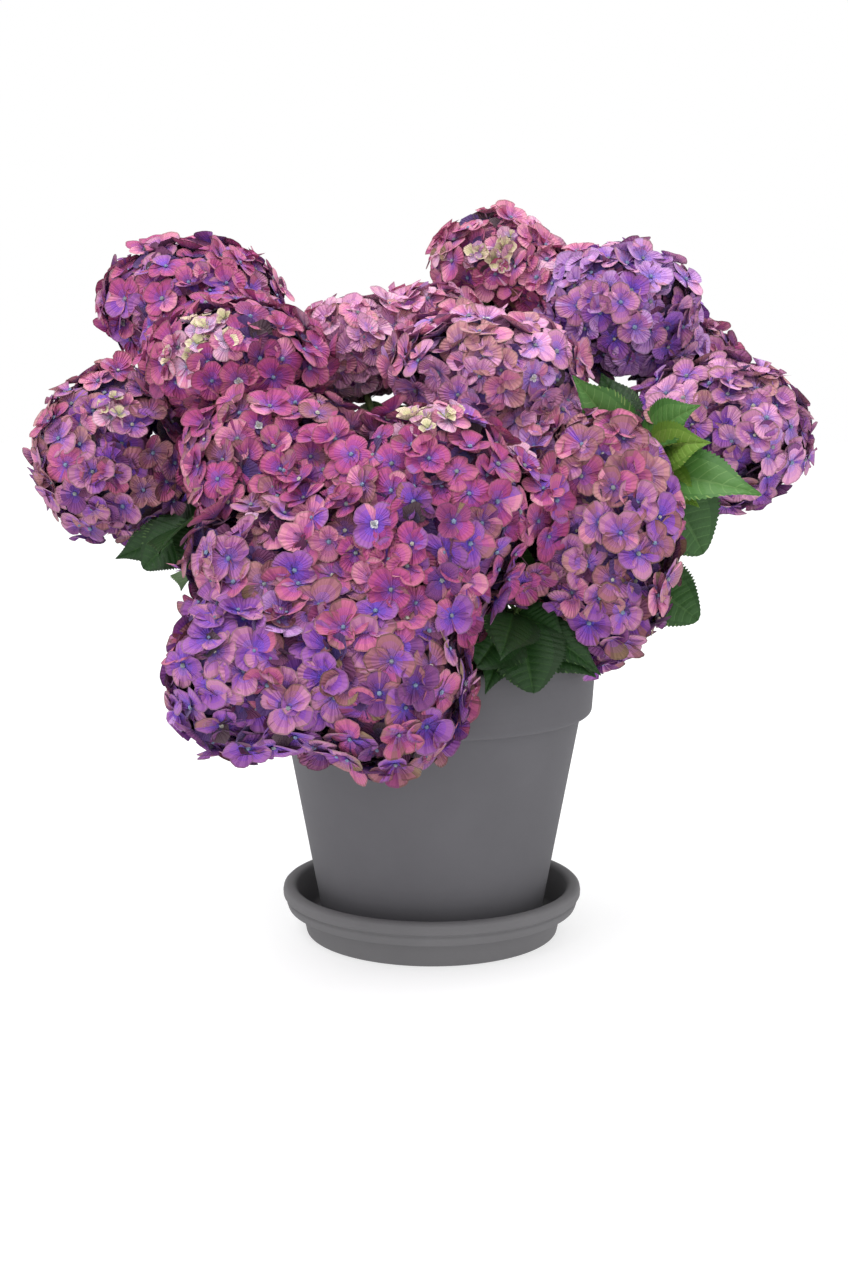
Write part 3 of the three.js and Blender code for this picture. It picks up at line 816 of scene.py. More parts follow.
def florets_of(index, head, spacing, shell, margin, rng):
    """Hearts and normals of a head's florets, kept to the head's own space."""
    mean = (2 * head["radii"][0] + head["radii"][2]) / 3
    count = round(4 * math.pi * mean * mean / (CLOSE_PACKING * spacing**2))
    golden = math.pi * (3 - math.sqrt(5))
    number = np.arange(count)
    height = 1 - (2 * (number + 0.5)) / count
    flat = np.sqrt(1 - height * height)
    turn = golden * number + head["seed"]
    way = np.stack((flat * np.cos(turn), flat * np.sin(turn), height), axis=1)
    way = unit(way + rng.normal(0, FLORET_JITTER, way.shape) * (spacing / mean))
    skin = way * head["radii"]
    normal = unit(way / head["radii"])
    tilt = rng.uniform(-FLORET_TILT, FLORET_TILT, normal.shape)
    normal = unit(normal + tilt * head.get("ruffled", 1))
    around = np.arctan2(way[:, 1], way[:, 0])
    lumps = 1 + 0.03 * np.sin(3 * around + head["seed"]) * flat
    lumps = lumps + 0.028 * np.sin(5 * way[:, 2] + 2 * around + head["seed"] * 0.7)
    inward = np.abs(rng.normal(0, SHELL_SPREAD, count))
    depth = shell[1] - (shell[1] - shell[0]) * inward
    depth = depth * SNUG.get(head["name"], 1)
    heart = head["centre"] + skin * (depth * lumps)[:, None]
    keep = unit(skin) @ head["facing"] > STEM_SIDE
    keep &= own_space(index, heart, margin)
    # Where two heads press on each other the florets fill the valley between them.
    apart = depths(heart)
    apart[:, index] = np.inf
    nearest = apart.argmin(axis=1)
    own = np.linalg.norm((heart - head["centre"]) / head["radii"], axis=1)
    near = np.clip(1 - (apart.min(axis=1) - own + 0.07) / VALLEY_WIDTH, 0, 1)
    theirs = unit((heart - CENTRES[nearest]) / RADII[nearest] ** 2)
    outward = unit(way / head["radii"]) + theirs
    near *= np.clip(2 * np.linalg.norm(outward, axis=1) - 1.2, 0, 1)
    heart = heart + unit(outward) * (near**1.4 * VALLEY_RISE)[:, None]
    normal = unit(normal + theirs * (0.6 * near)[:, None])
    keep &= ~in_opening(heart, PETAL_LENGTH * OPENING_GROWTH)
    return heart[keep], normal[keep], way[keep]


petal_groups = {}


def add_petals(group, template, hearts, normals, lengths, cups, tints, rng):
    """Four petals round every heart. tints holds each petal's own tint and its patch's."""
    if not len(hearts):
        return
    axes = (normals, *square_to(normals, rng))
    batch = petal_groups.setdefault((group, template), [])
    for petal in range(4):
        points = petal_points(template, petal, hearts, axes, lengths, cups, rng)
        batch.append((points, tints[:, petal]))


def young_places(head, ways, share=1.0):
    """True where a direction lies in one of the head's young patches."""
    young = np.zeros(len(ways), bool)
    for name, direction, half in YOUNG:
        if name == head["name"]:
            young |= ways @ unit(direction) > math.cos(math.radians(half * share))
    return young


def dealt_tints(head, ways, rng):
    """Tint and patch tint of every petal, from the head's top mix to its foot mix."""
    count = len(ways)
    top, foot = (tint_weights(text) for text in HEAD_TINTS[head["name"]])
    level = np.clip(0.5 + 0.5 * ways[:, 2] + rng.normal(0, 0.18, count), 0, 1)
    tints = np.zeros((count, 4, 2), int)
    for i in range(count):
        weights = top * level[i] + foot * (1 - level[i])
        blade = weights * BLADE_SHARE
        patch = weights * PATCH_SHARE
        blade /= blade.sum()
        patch /= patch.sum()
        own = rng.choice(len(weights), p=blade)
        for petal in range(4):
            odd = rng.random() < ODD_PETALS
            tints[i, petal, 0] = rng.choice(len(weights), p=blade) if odd else own
            tints[i, petal, 1] = rng.choice(len(weights), p=patch)
    return tints


bead_rows = []
stalk_rows = []
for index, head in enumerate(heads):
    rng = np.random.default_rng(head["seed"])
    group = GROUP_OF[head["name"]]
    size = BIG_FLORETS.get(head["name"], (1.0, 1.0))
    spacing = FLORET_SPACING * size[0]
    if head["name"] in CLOSE_HEADS:
        spacing *= CLOSE_HEADS[head["name"]]
        head["ruffled"] = CLOSE_RUFFLE
    grown = [florets_of(index, head, spacing, SHELL, HEAD_MARGIN, rng)]
    for number, bridge in enumerate(bridges, len(heads)):
        if bridge["name"] == head["name"]:
            grown.append(florets_of(number, bridge, spacing, SHELL, BRIDGE_MARGIN, rng))
    hearts, normals, ways = (np.concatenate(rows) for rows in zip(*grown))
    count = len(hearts)
    lengths = PETAL_LENGTH * size[1] * rng.uniform(0.88, 1.08, count)
    cups = rng.uniform(-0.06, 0.36, count)
    tints = dealt_tints(head, ways, rng)
    young = young_places(head, ways)
    tints[young] = np.where(rng.random((young.sum(), 4, 2)) < 0.5, PALE, BLUSH)
    lengths[young] *= rng.uniform(0.75, 0.95, young.sum())
    add_petals(group, OPEN_PETAL, hearts, normals, lengths, cups, tints, rng)
    bead_rows.append((hearts + normals * 0.6, normals, young))
    stalk_rows.append((head, hearts))
    if young.any():
        small, ups, ways = florets_of(index, head, YOUNG_SPACING, YOUNG_SHELL, YOUNG_MARGIN, rng)
        near = young_places(head, ways, 0.85)
        small, ups = small[near] + ups[near] * 3, ups[near]
        add_petals(
            group, YOUNG_PETAL, small, ups,
            YOUNG_LENGTH * rng.uniform(0.7, 1.2, len(small)), rng.uniform(0.25, 0.6, len(small)),
            rng.choice([CREAM, CREAM, PALE], (len(small), 4, 2)), rng,
        )
        stalk_rows.append((head, small))
    # A few eyes have opened into tiny white stars.
    stars = rng.random(count) < STAR_SHARE
    add_petals(
        group, SUNKEN_PETAL, hearts[stars] + normals[stars], normals[stars],
        np.full(stars.sum(), STAR_LENGTH), np.full(stars.sum(), 0.2),
        np.full((stars.sum(), 4, 2), STAR), rng,
    )

    # A second, sunken layer closes the gaps between the outer florets. Its petals are coloured dark as
    # painted shade in those gaps.
    hearts, normals, ways = florets_of(
        index, head, SUNKEN_SPACING, SUNKEN_SHELL, SUNKEN_MARGIN, rng
    )
    count = len(hearts)
    kinds = PALE_HEAD_PAINTED_SHADES if head["name"] in PALE_PAINTED_LIGHT_HEADS else SUNKEN_PAINTED_SHADES
    painted_shade_tints = rng.choice(kinds, (count, 4, 2), p=(0.5, 0.4, 0.1))
    add_petals(
        "sunken", SUNKEN_PETAL, hearts, normals, np.full(count, SUNKEN_LENGTH),
        np.full(count, 0.12), painted_shade_tints, rng,
    )

petal_slots = []
for tint in TINT_NAMES:
    for row in range(len(PETAL_ROWS)):
        colour = np.array(PETAL_TINTS[tint][row], float)
        rim = row == len(PETAL_ROWS) - 1
        blade = colour * (0.9 if rim else 1.04)
        veined = colour * np.array((0.93, 0.87, 0.95) if row else (0.97, 0.94, 1.0))
        petal_slots.append(petal_material(f"petal_{tint}_{row}_blade", blade))
        petal_slots.append(petal_material(f"petal_{tint}_{row}_vein", veined))
petal_slots = np.array(petal_slots, object)


def face_slots(template, tints, rng):
    """Slots of every petal's fan and quads."""
    count = len(tints)
    columns = len(template.fan)
    column = np.arange(len(template.quads)) % columns
    row = np.arange(len(template.quads)) // columns
    # The petal's second tint fills a patch of its rays from some row out to the rim.
    first = rng.integers(-2, columns - 1, (count, 1))
    width = rng.integers(2, 7, (count, 1)) * (rng.random((count, 1)) < 0.5)
    inner = rng.integers(0, 3, (count, 1))
    second = (column >= first) & (column < first + width) & (row >= inner)
    second |= (rng.random((count, columns)) < 0.05)[:, column]
    quad_tints = np.where(second, tints[:, 1:], tints[:, :1])
    # Some veins are too faint to show.
    faint = (rng.random((count, columns)) < 0.35)[:, column]
    zones = np.where(faint, template.zones[None] & ~1, template.zones[None])
    fan = (template.fan_zone[None] + tints[:, :1] * ZONES).ravel()
    return fan, (zones + quad_tints * ZONES).ravel()


streak_rng = np.random.default_rng(63)
for group in dict.fromkeys(key[0] for key in petal_groups):
    points, fans, quads, fan_slots, quad_slots, maps = ([] for _ in range(6))
    start = 0
    for template in (OPEN_PETAL, SUNKEN_PETAL, YOUNG_PETAL):
        batches = petal_groups.get((group, template), [])
        if not batches:
            continue
        batch, tints = (np.concatenate(rows) for rows in zip(*batches))
        count, size, _ = batch.shape
        base = deep(start + np.arange(count) * size)
        start += count * size
        points.append(batch.reshape(-1, 3))
        fans.append((template.fan[None] + base).reshape(-1, 3))
        quads.append((template.quads[None] + base).reshape(-1, 4))
        fan, quad = face_slots(template, tints, streak_rng)
        fan_slots.append(fan)
        quad_slots.append(quad)
        maps.append(np.tile(template.maps, (count, 1)))
    used, slots = np.unique(np.concatenate(fan_slots + quad_slots), return_inverse=True)
    piece = mesh_object(
        f"petals_{group}", np.concatenate(points), fans + quads,
        slots, list(petal_slots[used]), np.concatenate(maps),
    )
    finish_piece(piece, [f"flower_head_{name}" for name in GROUPS.get(group, ())])


# ---- floret eyes ----
def bead_template():
    """Points and triangles of a low bead of radius 1, open below."""
    points = [(0, 0, 1.0)]
    for radius, height in ((0.72, 0.72), (1.0, 0.1)):
        for k in range(BEAD_SIDES):
            turn = 2 * math.pi * k / BEAD_SIDES
            points.append((radius * math.cos(turn), radius * math.sin(turn), height))
    faces = []
    for k in range(BEAD_SIDES):
        after = (k + 1) % BEAD_SIDES
        faces.append((0, 1 + k, 1 + after))
        faces.append((1 + k, 1 + BEAD_SIDES + k, 1 + BEAD_SIDES + after))
        faces.append((1 + k, 1 + BEAD_SIDES + after, 1 + after))
    return np.array(points), np.array(faces)


bead_points, bead_faces = bead_template()
rng = np.random.default_rng(41)
eye_points = []
eye_slots = []
for hearts, normals, young in bead_rows:
    count = len(hearts)
    sides, others = square_to(normals, rng)
    size = np.where(young, YOUNG_EYE_RADIUS, rng.uniform(*EYE_RADIUS, count))
    local = bead_points[None] * deep(size)
    eye_points.append(
        hearts[:, None, :] + sides[:, None, :] * local[..., :1]
        + others[:, None, :] * local[..., 1:2] + normals[:, None, :] * local[..., 2:]
    )
    eye_slots.append(rng.choice(3, count, p=(0.6, 0.3, 0.1)))
eye_points = np.concatenate(eye_points)
eye_slots = np.concatenate(eye_slots)
base = deep(np.arange(len(eye_points)) * len(bead_points))
eyes = mesh_object(
    "floret_eyes", eye_points.reshape(-1, 3), [(bead_faces[None] + base).reshape(-1, 3)],
    np.repeat(eye_slots, len(bead_faces)),
    [
        petal_material("eye_blue", (150, 172, 206)),
        petal_material("eye_grey", (166, 174, 180)),
        petal_material("eye_cream", (226, 222, 206)),
    ],
    np.tile(bead_points[:, :2] * 0.5 + 0.5, (len(eye_points), 1)),
)
finish_piece(eyes)


# ---- stems ----
def add_stem(parts, centres, radii, sides, slot_of, roughness=0.0, rng=None):
    """Round stem through the given centres. slot_of gives the slot at a share of its length."""
    centres = np.asarray(centres, float)
    steps = len(centres)
    tangents = unit(np.gradient(centres, axis=0))
    across = np.array((1.0, 0.0, 0.0)) if abs(tangents[0][0]) < 0.8 else np.array((0.0, 1.0, 0.0))
    turn = 2 * math.pi * np.arange(sides) / sides
    rows = []
    for step in range(steps):
        across = unit(across - tangents[step] * (across @ tangents[step]))
        other = np.cross(tangents[step], across)
        ring = radii[step] * np.ones(sides)
        if roughness:
            ring = ring * (1 + rng.uniform(-roughness, roughness, sides))
        spoke = np.outer(np.cos(turn), across) + np.outer(np.sin(turn), other)
        rows.append(centres[step] + spoke * ring[:, None])
    quads = []
    slots = []
    for step in range(steps - 1):
        low = step * sides
        for k in range(sides):
            after = (k + 1) % sides
            quads.append((low + k, low + after, low + sides + after, low + sides + k))
            slots.append(slot_of(step / (steps - 1)))
    maps = np.stack(
        np.broadcast_arrays(turn[None, :] / MAP_TURN, np.linspace(0, 1, steps)[:, None]), axis=-1
    )
    add_part(parts, np.array(rows).reshape(-1, 3), quads, slots, maps.reshape(-1, 2))


BARK = [
    stem_material("bark_brown", (112, 94, 66), 0.85),
    stem_material("bark_tan", (134, 118, 84), 0.8),
    stem_material("stem_olive", (104, 112, 62), 0.65),
    stem_material("stem_green", (88, 112, 58), 0.6),
]

canes = empty_parts()
rng = np.random.default_rng(77)
for head in heads:
    shares = np.linspace(0, 1, CANE_STEPS)
    radii = CANE_FOOT_R + (CANE_TIP_R - CANE_FOOT_R) * shares
    # Leaf scars swell the cane a little every few centimetres.
    radii = radii * (1 + 0.09 * np.exp(-(((shares * CANE_SCARS) % 1 - 0.5) / 0.09) ** 2))

    def slot_of(share, rng=rng):
        """The bark is brown at the foot and green at the head."""
        age = share + rng.uniform(-0.12, 0.12)
        return 0 if age < 0.3 else 1 if age < 0.5 else 2 if age < 0.75 else 3

    add_stem(canes, [head["curve"].at(t) for t in shares], radii, 10, slot_of, 0.06, rng)
cane_piece = parts_object("canes", canes, BARK)
finish_piece(cane_piece, [f"cane_{head['name']}" for head in heads])

# Flower stalks: the head's own stem, its forks, and a thin stalk to every floret.
stalks = empty_parts()
for head, hearts in stalk_rows:
    inner = head["centre"] - head["facing"] * 0.35 * head["reach"]
    add_stem(
        stalks, [head["stem_foot"], (head["stem_foot"] + inner) / 2, inner],
        (3.0, 2.8, 2.6), 8, lambda share: 0,
    )
    forks = min(len(hearts), max(6, len(hearts) // 9))
    rng = np.random.default_rng(head["seed"] + 5)
    chosen = hearts[rng.choice(len(hearts), forks, replace=False)]
    knots = inner + (chosen - inner) * 0.62
    for knot in knots:
        bend = (inner + knot) / 2 + head["facing"] * 4
        add_stem(stalks, [inner, bend, knot], (1.6, 1.4, 1.1), 5, lambda share: 0)
    for heart in hearts:
        knot = knots[np.argmin(np.linalg.norm(knots - heart, axis=1))]
        add_stem(stalks, [knot, heart], (0.6, 0.5), 3, lambda share: 1)
stalk_piece = parts_object("flower_stalks", stalks, [
    stem_material("stalk_green", (112, 130, 76), 0.6),
    stem_material("stalk_rose", (136, 92, 112), 0.6),
])
finish_piece(stalk_piece)


# ---- leaves ----
def ovate(y, pointed):
    """Half width of the blade at a share of its length, at most 1."""
    y = np.clip(y, 0, 1)
    tip = np.clip((y - 0.62) / 0.38, 0, 1)
    fullness = 0.72 if pointed > 0.5 else 0.56
    return (np.sin(math.pi * y**0.8) ** fullness) * (1 - pointed * tip * tip * (3 - 2 * tip))


def leaf_rows(pairs):
    """Rows across a blade, four to every vein, and the kind of each: 0 is the vein itself."""
    rows = [0.0]
    kinds = []
    gap = 1 / (pairs + 0.35)
    for vein in range(pairs):
        start = (vein + 0.35) / (pairs + 0.35)
        for kind, share in enumerate((0.0, 0.1, 0.5, 0.6)):
            if start + gap * share < 0.995:
                rows.append(start + gap * share)
                kinds.append(kind)
    return np.array([*rows, 1.0]), [*kinds, 3]


def leaf_faces(shape, columns, kinds, tint):
    """Faces and slots of a blade's upper side and then of its underside."""
    quads = []
    slots = []
    for layer in (0, 1):
        for r in range(shape[0] - 1):
            kind = kinds[r - 1] if r else 3
            for c in range(shape[1] - 1):
                low = (layer * shape[0] + r) * shape[1] + c
                face = (low, low + 1, low + shape[1] + 1, low + shape[1])
                quads.append(face[::-1] if layer else face)
                middle = abs(columns[c] + columns[c + 1]) / 2
                if middle < 0.04 or (kind == 0 and middle < 0.8 and r > 0):
                    zone = 2
                elif layer == 1:
                    zone = 3
                else:
                    zone = 1 if middle > 0.72 else 0
                slots.append(list(LEAF_TINTS).index(tint) * 4 + zone)
    return quads, slots


leaf_parts = empty_parts()
leaf_stalks = empty_parts()


def add_leaf(foot, tip, width, up, tint, rng, pairs=LEAF_PAIRS, spread=LEAF_COLUMNS):
    """Toothed leaf with sunken veins, thin and two-sided, on a stalk of its own."""
    along = tip - foot
    length = np.linalg.norm(along)
    side = unit(np.cross(along, up))
    normal = unit(np.cross(side, along))
    roll = rng.uniform(-0.3, 0.3)
    pointed = 0.62 if width < 0.64 * length else 0.16
    side, normal = (
        side * math.cos(roll) + normal * math.sin(roll),
        normal * math.cos(roll) - side * math.sin(roll),
    )
    rows, kinds = leaf_rows(pairs)
    columns = np.array([-c for c in spread[:0:-1]] + list(spread))
    s, t = np.meshgrid(rows, columns, indexing="ij")
    rim = np.abs(t) > 0.99
    # The side veins run forward, towards the tip.
    y = s + 0.3 * np.abs(t) ** 1.15 * (1 - s) ** 0.8 * np.minimum(1, s / 0.1)
    half = width / 2 * ovate(y, pointed) * 1.04
    teeth = np.array([0.0] + [-0.045 if kind % 2 else 0.05 for kind in kinds])[:, None] * rim
    half = half * (1 + teeth * (s < 0.96) * (s > 0.03))
    share = np.minimum(PETIOLE + (1 - PETIOLE) * y, 1.0)
    arch = 0.08 * length
    lift = arch * (3.3 * share - 3.7 * share**2)
    lift = lift + arch * 0.55 * np.abs(t) * np.sin(math.pi * np.clip(y, 0, 1))
    wave = rng.uniform(0.6, 1.6)
    lift = lift + wave * np.sin(y * rng.uniform(9, 14) + rng.uniform(0, 6)) * t * np.abs(t)
    between = np.array([0.0] + [float(kind > 1) for kind in kinds])
    quilt = between[:, None] * (np.abs(t) > 0.04) * (np.abs(t) < 0.99)
    lift = lift + 0.55 * quilt - 0.5 * (np.abs(t) < 0.02)
    sway = rng.uniform(-0.05, 0.05) * length * np.sin(math.pi * share)
    base = foot + along * share[..., None] + side * (t * half + sway)[..., None]
    top = base + normal * lift[..., None]
    under = base + normal * (lift - np.where(rim, 0.0, LEAF_THICKNESS))[..., None]
    maps = np.stack((0.5 + t * 0.45, y), axis=-1)
    add_part(
        leaf_parts, np.concatenate((top, under)).reshape(-1, 3),
        *leaf_faces(s.shape, columns, kinds, tint), np.concatenate((maps, maps)).reshape(-1, 2),
    )
    reach = foot + along * (PETIOLE + 0.05) + normal * arch * 0.4
    middle = foot + along * PETIOLE * 0.5 + normal * arch * 0.12
    add_stem(leaf_stalks, [foot, middle, reach], (1.9, 1.6, 1.1), 6, lambda share: 3)


def solid_points(node):
    """Search tree over the points of one of the solids, in metres."""
    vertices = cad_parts[node].data.vertices
    tree = kdtree.KDTree(len(vertices))
    for i, vertex in enumerate(vertices):
        tree.insert(vertex.co, i)
    tree.balance()
    return tree


def turned_about(vector, axis, angle):
    """Vector turned about a unit axis."""
    return (
        vector * math.cos(angle) + np.cross(axis, vector) * math.sin(angle)
        + axis * (axis @ vector) * (1 - math.cos(angle))
    )


for shoot in shoots:
    random = random_from(shoot["seed"])
    tree = solid_points(f"leafy_shoot_{shoot['name']}")
    rng = np.random.default_rng(shoot["seed"])
    curve = shoot["curve"]

    def stands(tip, tree=tree):
        """True where the solids hold a leaf tip at this point."""
        return tree.find(tip * MM)[2] < TIP_REACH

    for name, tip, width, share, lean, tint in GROWN_ON:
        if name == shoot["name"]:
            lifted = np.array((0.0, -lean, 1.0))
            add_leaf(curve.at(share), np.array(tip, float), width, lifted, tint, rng)
    for x, y, z, width, share, lean, tint in shoot["led"]:
        tip = np.array((x, y, z), float)
        if stands(tip):
            add_leaf(curve.at(share), tip, width, np.array((0.0, -lean, 1.0)), tint, rng)

    # Leaf pairs by the solids' own rule. Each tip is the first try that the solids hold.
    outward = unit((shoot["tip"][0], shoot["tip"][1], 0))
    face_up = UP + outward * LEAF_LEAN
    face_up = face_up - np.array((0, max(0.0, min(1.0, (90 - shoot["tip"][1]) / 120)), 0))
    led_tints = SEEDED_TINTS.get(shoot["name"], ())
    seeded = 0
    for pair in range(SHOOT_PAIRS):
        foot, ahead, sideways = curve.leaf_pair(0.96 - 0.17 * pair)
        for hand in (1, -1):
            for attempt in range(SHOOT_TRIES):
                angle = (pair % 2) * (math.pi / 2) + (random() - 0.5) * 2.4
                away = turned_about(sideways * hand, ahead, angle)
                away = away + ahead * (0.25 + 0.7 * random())
                away[2] -= 0.15
                length = SHOOT_LEAF_LENGTH * (1.1 - 0.045 * attempt)
                tip = foot + unit(away) * length
                if stands(tip):
                    width = SHOOT_LEAF_WIDTH * (1 - 0.03 * attempt)
                    tint = LEAF_MIX[rng.integers(0, 4)]
                    if seeded < len(led_tints):
                        tint = led_tints[seeded]
                    seeded += 1
                    if not in_opening(tip[None], 0, LEAF_SKY)[0]:
                        add_leaf(foot, tip, width, face_up, tint, rng)
                    break
    shares = np.linspace(0, 1, SHOOT_STEPS)
    radii = SHOOT_FOOT_R + (SHOOT_TIP_R - SHOOT_FOOT_R) * shares
    add_stem(
        leaf_stalks, [curve.at(t) for t in shares], radii, 8,
        lambda share: 1 if share < 0.2 else 2 if share < 0.5 else 3, 0.05, rng,
    )

# Leaf pairs along the canes fill the crown's inside and back. They grow only where the
# heads in front hide them, so the open places of the front stay open.
rng = np.random.default_rng(503)
for head in heads:
    rear = head["centre"][1] > REAR_FROM
    longest = REAR_LEAF_LENGTH if rear else CANE_LEAF_LENGTH
    away_from_crown = unit((head["centre"][0], head["centre"][1], 0))
    for pair, share in enumerate(REAR_LEAF_SHARES if rear else CANE_LEAF_SHARES):
        foot, ahead, sideways = head["curve"].leaf_pair(share)
        for hand in (1, -1):
            for attempt in range(CANE_TRIES):
                angle = (pair % 2) * (math.pi / 2) + rng.uniform(-0.8, 0.8)
                away = turned_about(sideways * hand, ahead, angle) + ahead * rng.uniform(0.2, 0.9)
                away[2] += rng.uniform(-0.3, 0.15)
                away = unit(away) + away_from_crown * (0.6 if rear else 0.2)
                length = longest * rng.uniform(0.75, 1.1)
                along = unit(away) * length
                reach = foot + along * np.array((0.4, 0.6, 0.8, 1.0))[:, None]
                edge = unit(np.cross(along, UP)) * length * CANE_LEAF_ASPECT / 2
                around = np.concatenate((reach, reach[1:2] + edge, reach[1:2] - edge))
                clear = depths(reach).min() > CLEAR_OF_HEADS
                clear = clear and reach[:, 2].min() > RIM_TOP + CLEAR_OF_RIM
                if clear and hidden(around) and abs(reach[:, :2]).max() < CROWN_REACH:
                    width = length * CANE_LEAF_ASPECT * rng.uniform(0.9, 1.1)
                    outward = unit((reach[-1][0], reach[-1][1], 0))
                    add_leaf(
                        foot, reach[-1], width, UP + outward * LEAF_LEAN,
                        LEAF_MIX[rng.integers(0, 4)], rng, CANE_LEAF_PAIRS, CANE_LEAF_COLUMNS,
                    )
                    break

leaf_slots = []
for tint, colours in LEAF_TINTS.items():
    for zone, rgb, roughness in zip(LEAF_ZONES, colours, (0.45, 0.45, 0.5, 0.6)):
        leaf_slots.append(leaf_material(f"leaf_{tint}_{zone}", rgb, roughness))
leaves = parts_object("leaves", leaf_parts, leaf_slots)
finish_piece(leaves, [f"leafy_shoot_{shoot['name']}" for shoot in shoots])
shoot_piece = parts_object("shoot_stems", leaf_stalks, BARK)
finish_piece(shoot_piece)


# ---- pot, saucer, soil and crown ----
def rounded(profile, steps=5):
    """Profile with each marked corner turned into an arc. A corner is radius, height, rounding."""
    result = []
    for i, corner in enumerate(profile):
        point = np.array(corner[:2], float)
        size = corner[2] if len(corner) > 2 else 0
        if not size:
            result.append(point)
            continue
        before = np.array(profile[i - 1][:2], float)
        after = np.array(profile[i + 1][:2], float)
        start = point + unit(before - point) * size
        end = point + unit(after - point) * size
        for step in range(steps + 1):
            t = step / steps
            result.append(start * (1 - t) ** 2 + point * 2 * t * (1 - t) + end * t * t)
    return np.array(result)


def denser(profile, most, fine_from=1e9, fine=1.1):
    """Profile with long straight runs split, and split finer above a height.

    The added points are what the relief moves.
    """
    result = [profile[0]]
    for a, b in zip(profile[:-1], profile[1:]):
        step = fine if min(a[1], b[1]) > fine_from else most
        parts = max(1, math.ceil(np.linalg.norm(b - a) / step))
        for part in range(1, parts + 1):
            result.append(a + (b - a) * part / parts)
    return np.array(result)


def turned_object(name, profile, facets, material, move=None):
    """Turned piece. The profile starts and ends on the axis."""
    turn = 2 * math.pi * np.arange(facets) / facets
    inner = profile[1:-1]
    rings = np.stack((
        inner[:, None, 0] * np.cos(turn), inner[:, None, 0] * np.sin(turn),
        inner[:, None, 1] * np.ones(facets),
    ), axis=-1)
    if move is not None:
        rings = move(rings)
    count = len(inner)
    points = np.concatenate((
        rings.reshape(-1, 3), [(0, 0, profile[0][1])], [(0, 0, profile[-1][1])],
    ))
    k = np.arange(facets)
    after = (k + 1) % facets
    quads = []
    for row in range(count - 1):
        low = row * facets
        high = low + facets
        quads.append(np.stack((low + k, low + after, high + after, high + k), axis=1))
    first = np.stack((np.full(facets, count * facets), after, k), axis=1)
    last_row = (count - 1) * facets
    last = np.stack((np.full(facets, count * facets + 1), last_row + k, last_row + after), axis=1)
    quads = np.concatenate(quads)
    faces = [quads, np.concatenate((first, last))]
    return mesh_object(name, points, faces, np.zeros(len(quads) + 2 * facets), [material])


def drawn_in(rings, scale):
    """Rings with every point at a share of its distance from the axis."""
    moved = rings.copy()
    moved[..., :2] *= scale[..., None]
    return moved


def pot_outer(height):
    """Radius of the pot's outer wall."""
    return POT_FOOT_R + (height - POT_BASE) * POT_SLOPE


def pot_inner(height):
    return pot_outer(height) - POT_WALL


saucer_inner = SAUCER_RIM_R - SAUCER_WALL
saucer_profile = rounded([
    (0, 0),
    (SAUCER_FOOT_R, 0, 2),
    (SAUCER_STEP_R, SAUCER_STEP_Z, 2),
    (SAUCER_RIM_R - 3, SAUCER_STEP_Z + 3, 4),
    (SAUCER_RIM_R, SAUCER_TOP - 10, 3),
    (SAUCER_RIM_R, SAUCER_TOP, 5.5),
    (saucer_inner, SAUCER_TOP, 4.5),
    (saucer_inner - 9, SAUCER_FLOOR + 4, 3),
    (saucer_inner - 15, SAUCER_FLOOR, 2),
    (0, SAUCER_FLOOR),
])


def saucer_grooves(rings):
    """A groove under the rolled lip, a band below it set back a little, and fine turning lines."""
    radius = np.hypot(rings[..., 0], rings[..., 1])
    height = rings[..., 2]
    outside = (radius > SAUCER_RIM_R - 6) & (height > SAUCER_STEP_Z + 3) & (height < SAUCER_TOP - 3)
    groove = 2.6 * np.exp(-(((height - SAUCER_LIP_Z) / 1.4) ** 2))
    below_lip = np.clip((SAUCER_LIP_Z - height) / 1.5, 0, 1)
    band = 1.2 * below_lip * np.clip((height - SAUCER_STEP_Z - 3) / 3, 0, 1)
    lines = 0.25 * (0.5 + 0.5 * np.cos(height * 2 * math.pi / 3.4))
    return drawn_in(rings, (radius - (groove + band + lines) * outside) / radius)


saucer = turned_object(
    "saucer_turned", denser(saucer_profile, 9, SAUCER_STEP_Z + 2.5), CLAY_FACETS,
    clay_material("saucer_clay_finish", (106, 105, 107), 60.0), saucer_grooves,
)
finish_piece(saucer, ["saucer"])

pot_floor = POT_BASE + POT_FLOOR
pot_profile = rounded([
    (0, POT_BASE),
    (POT_FOOT_R, POT_BASE, 3),
    (pot_outer(COLLAR_BOTTOM), COLLAR_BOTTOM, 1.5),
    (COLLAR_BOTTOM_R, COLLAR_BOTTOM, 4),
    (RIM_R, RIM_TOP, 4.5),
    (pot_inner(RIM_TOP), RIM_TOP, 4),
    (pot_inner(pot_floor), pot_floor, 4),
    (0, pot_floor),
])
pot = turned_object(
    "pot_turned", denser(pot_profile, 9), CLAY_FACETS,
    clay_material("pot_clay_finish", (94, 93, 97), 45.0),
)
finish_piece(pot, ["pot"])

soil_floor = POT_BASE + POT_FLOOR + GAP
soil_edge = SOIL_TOP - SOIL_DISH
soil_profile = denser(np.array([
    (0, soil_floor),
    (pot_inner(soil_floor) - GAP, soil_floor),
    (pot_inner(soil_edge) - GAP, soil_edge),
    (SOIL_FLAT_R, SOIL_TOP),
    (0, SOIL_TOP),
], float), 5)


def soil_crumbs(rings):
    """Lumps on the top of the soil only."""
    rng = np.random.default_rng(19)
    moved = rings.copy()
    top = rings[..., 2] > soil_edge + 0.2
    moved[..., 2] += np.where(top, rng.uniform(-2.2, 0.0, top.shape), 0)
    return moved


soil = turned_object(
    "soil_surface", soil_profile, SOIL_FACETS,
    mixed_material("soil_finish", (28, 21, 16), (72, 56, 42), 160.0, 0.8), soil_crumbs,
)
finish_piece(soil, ["soil"])


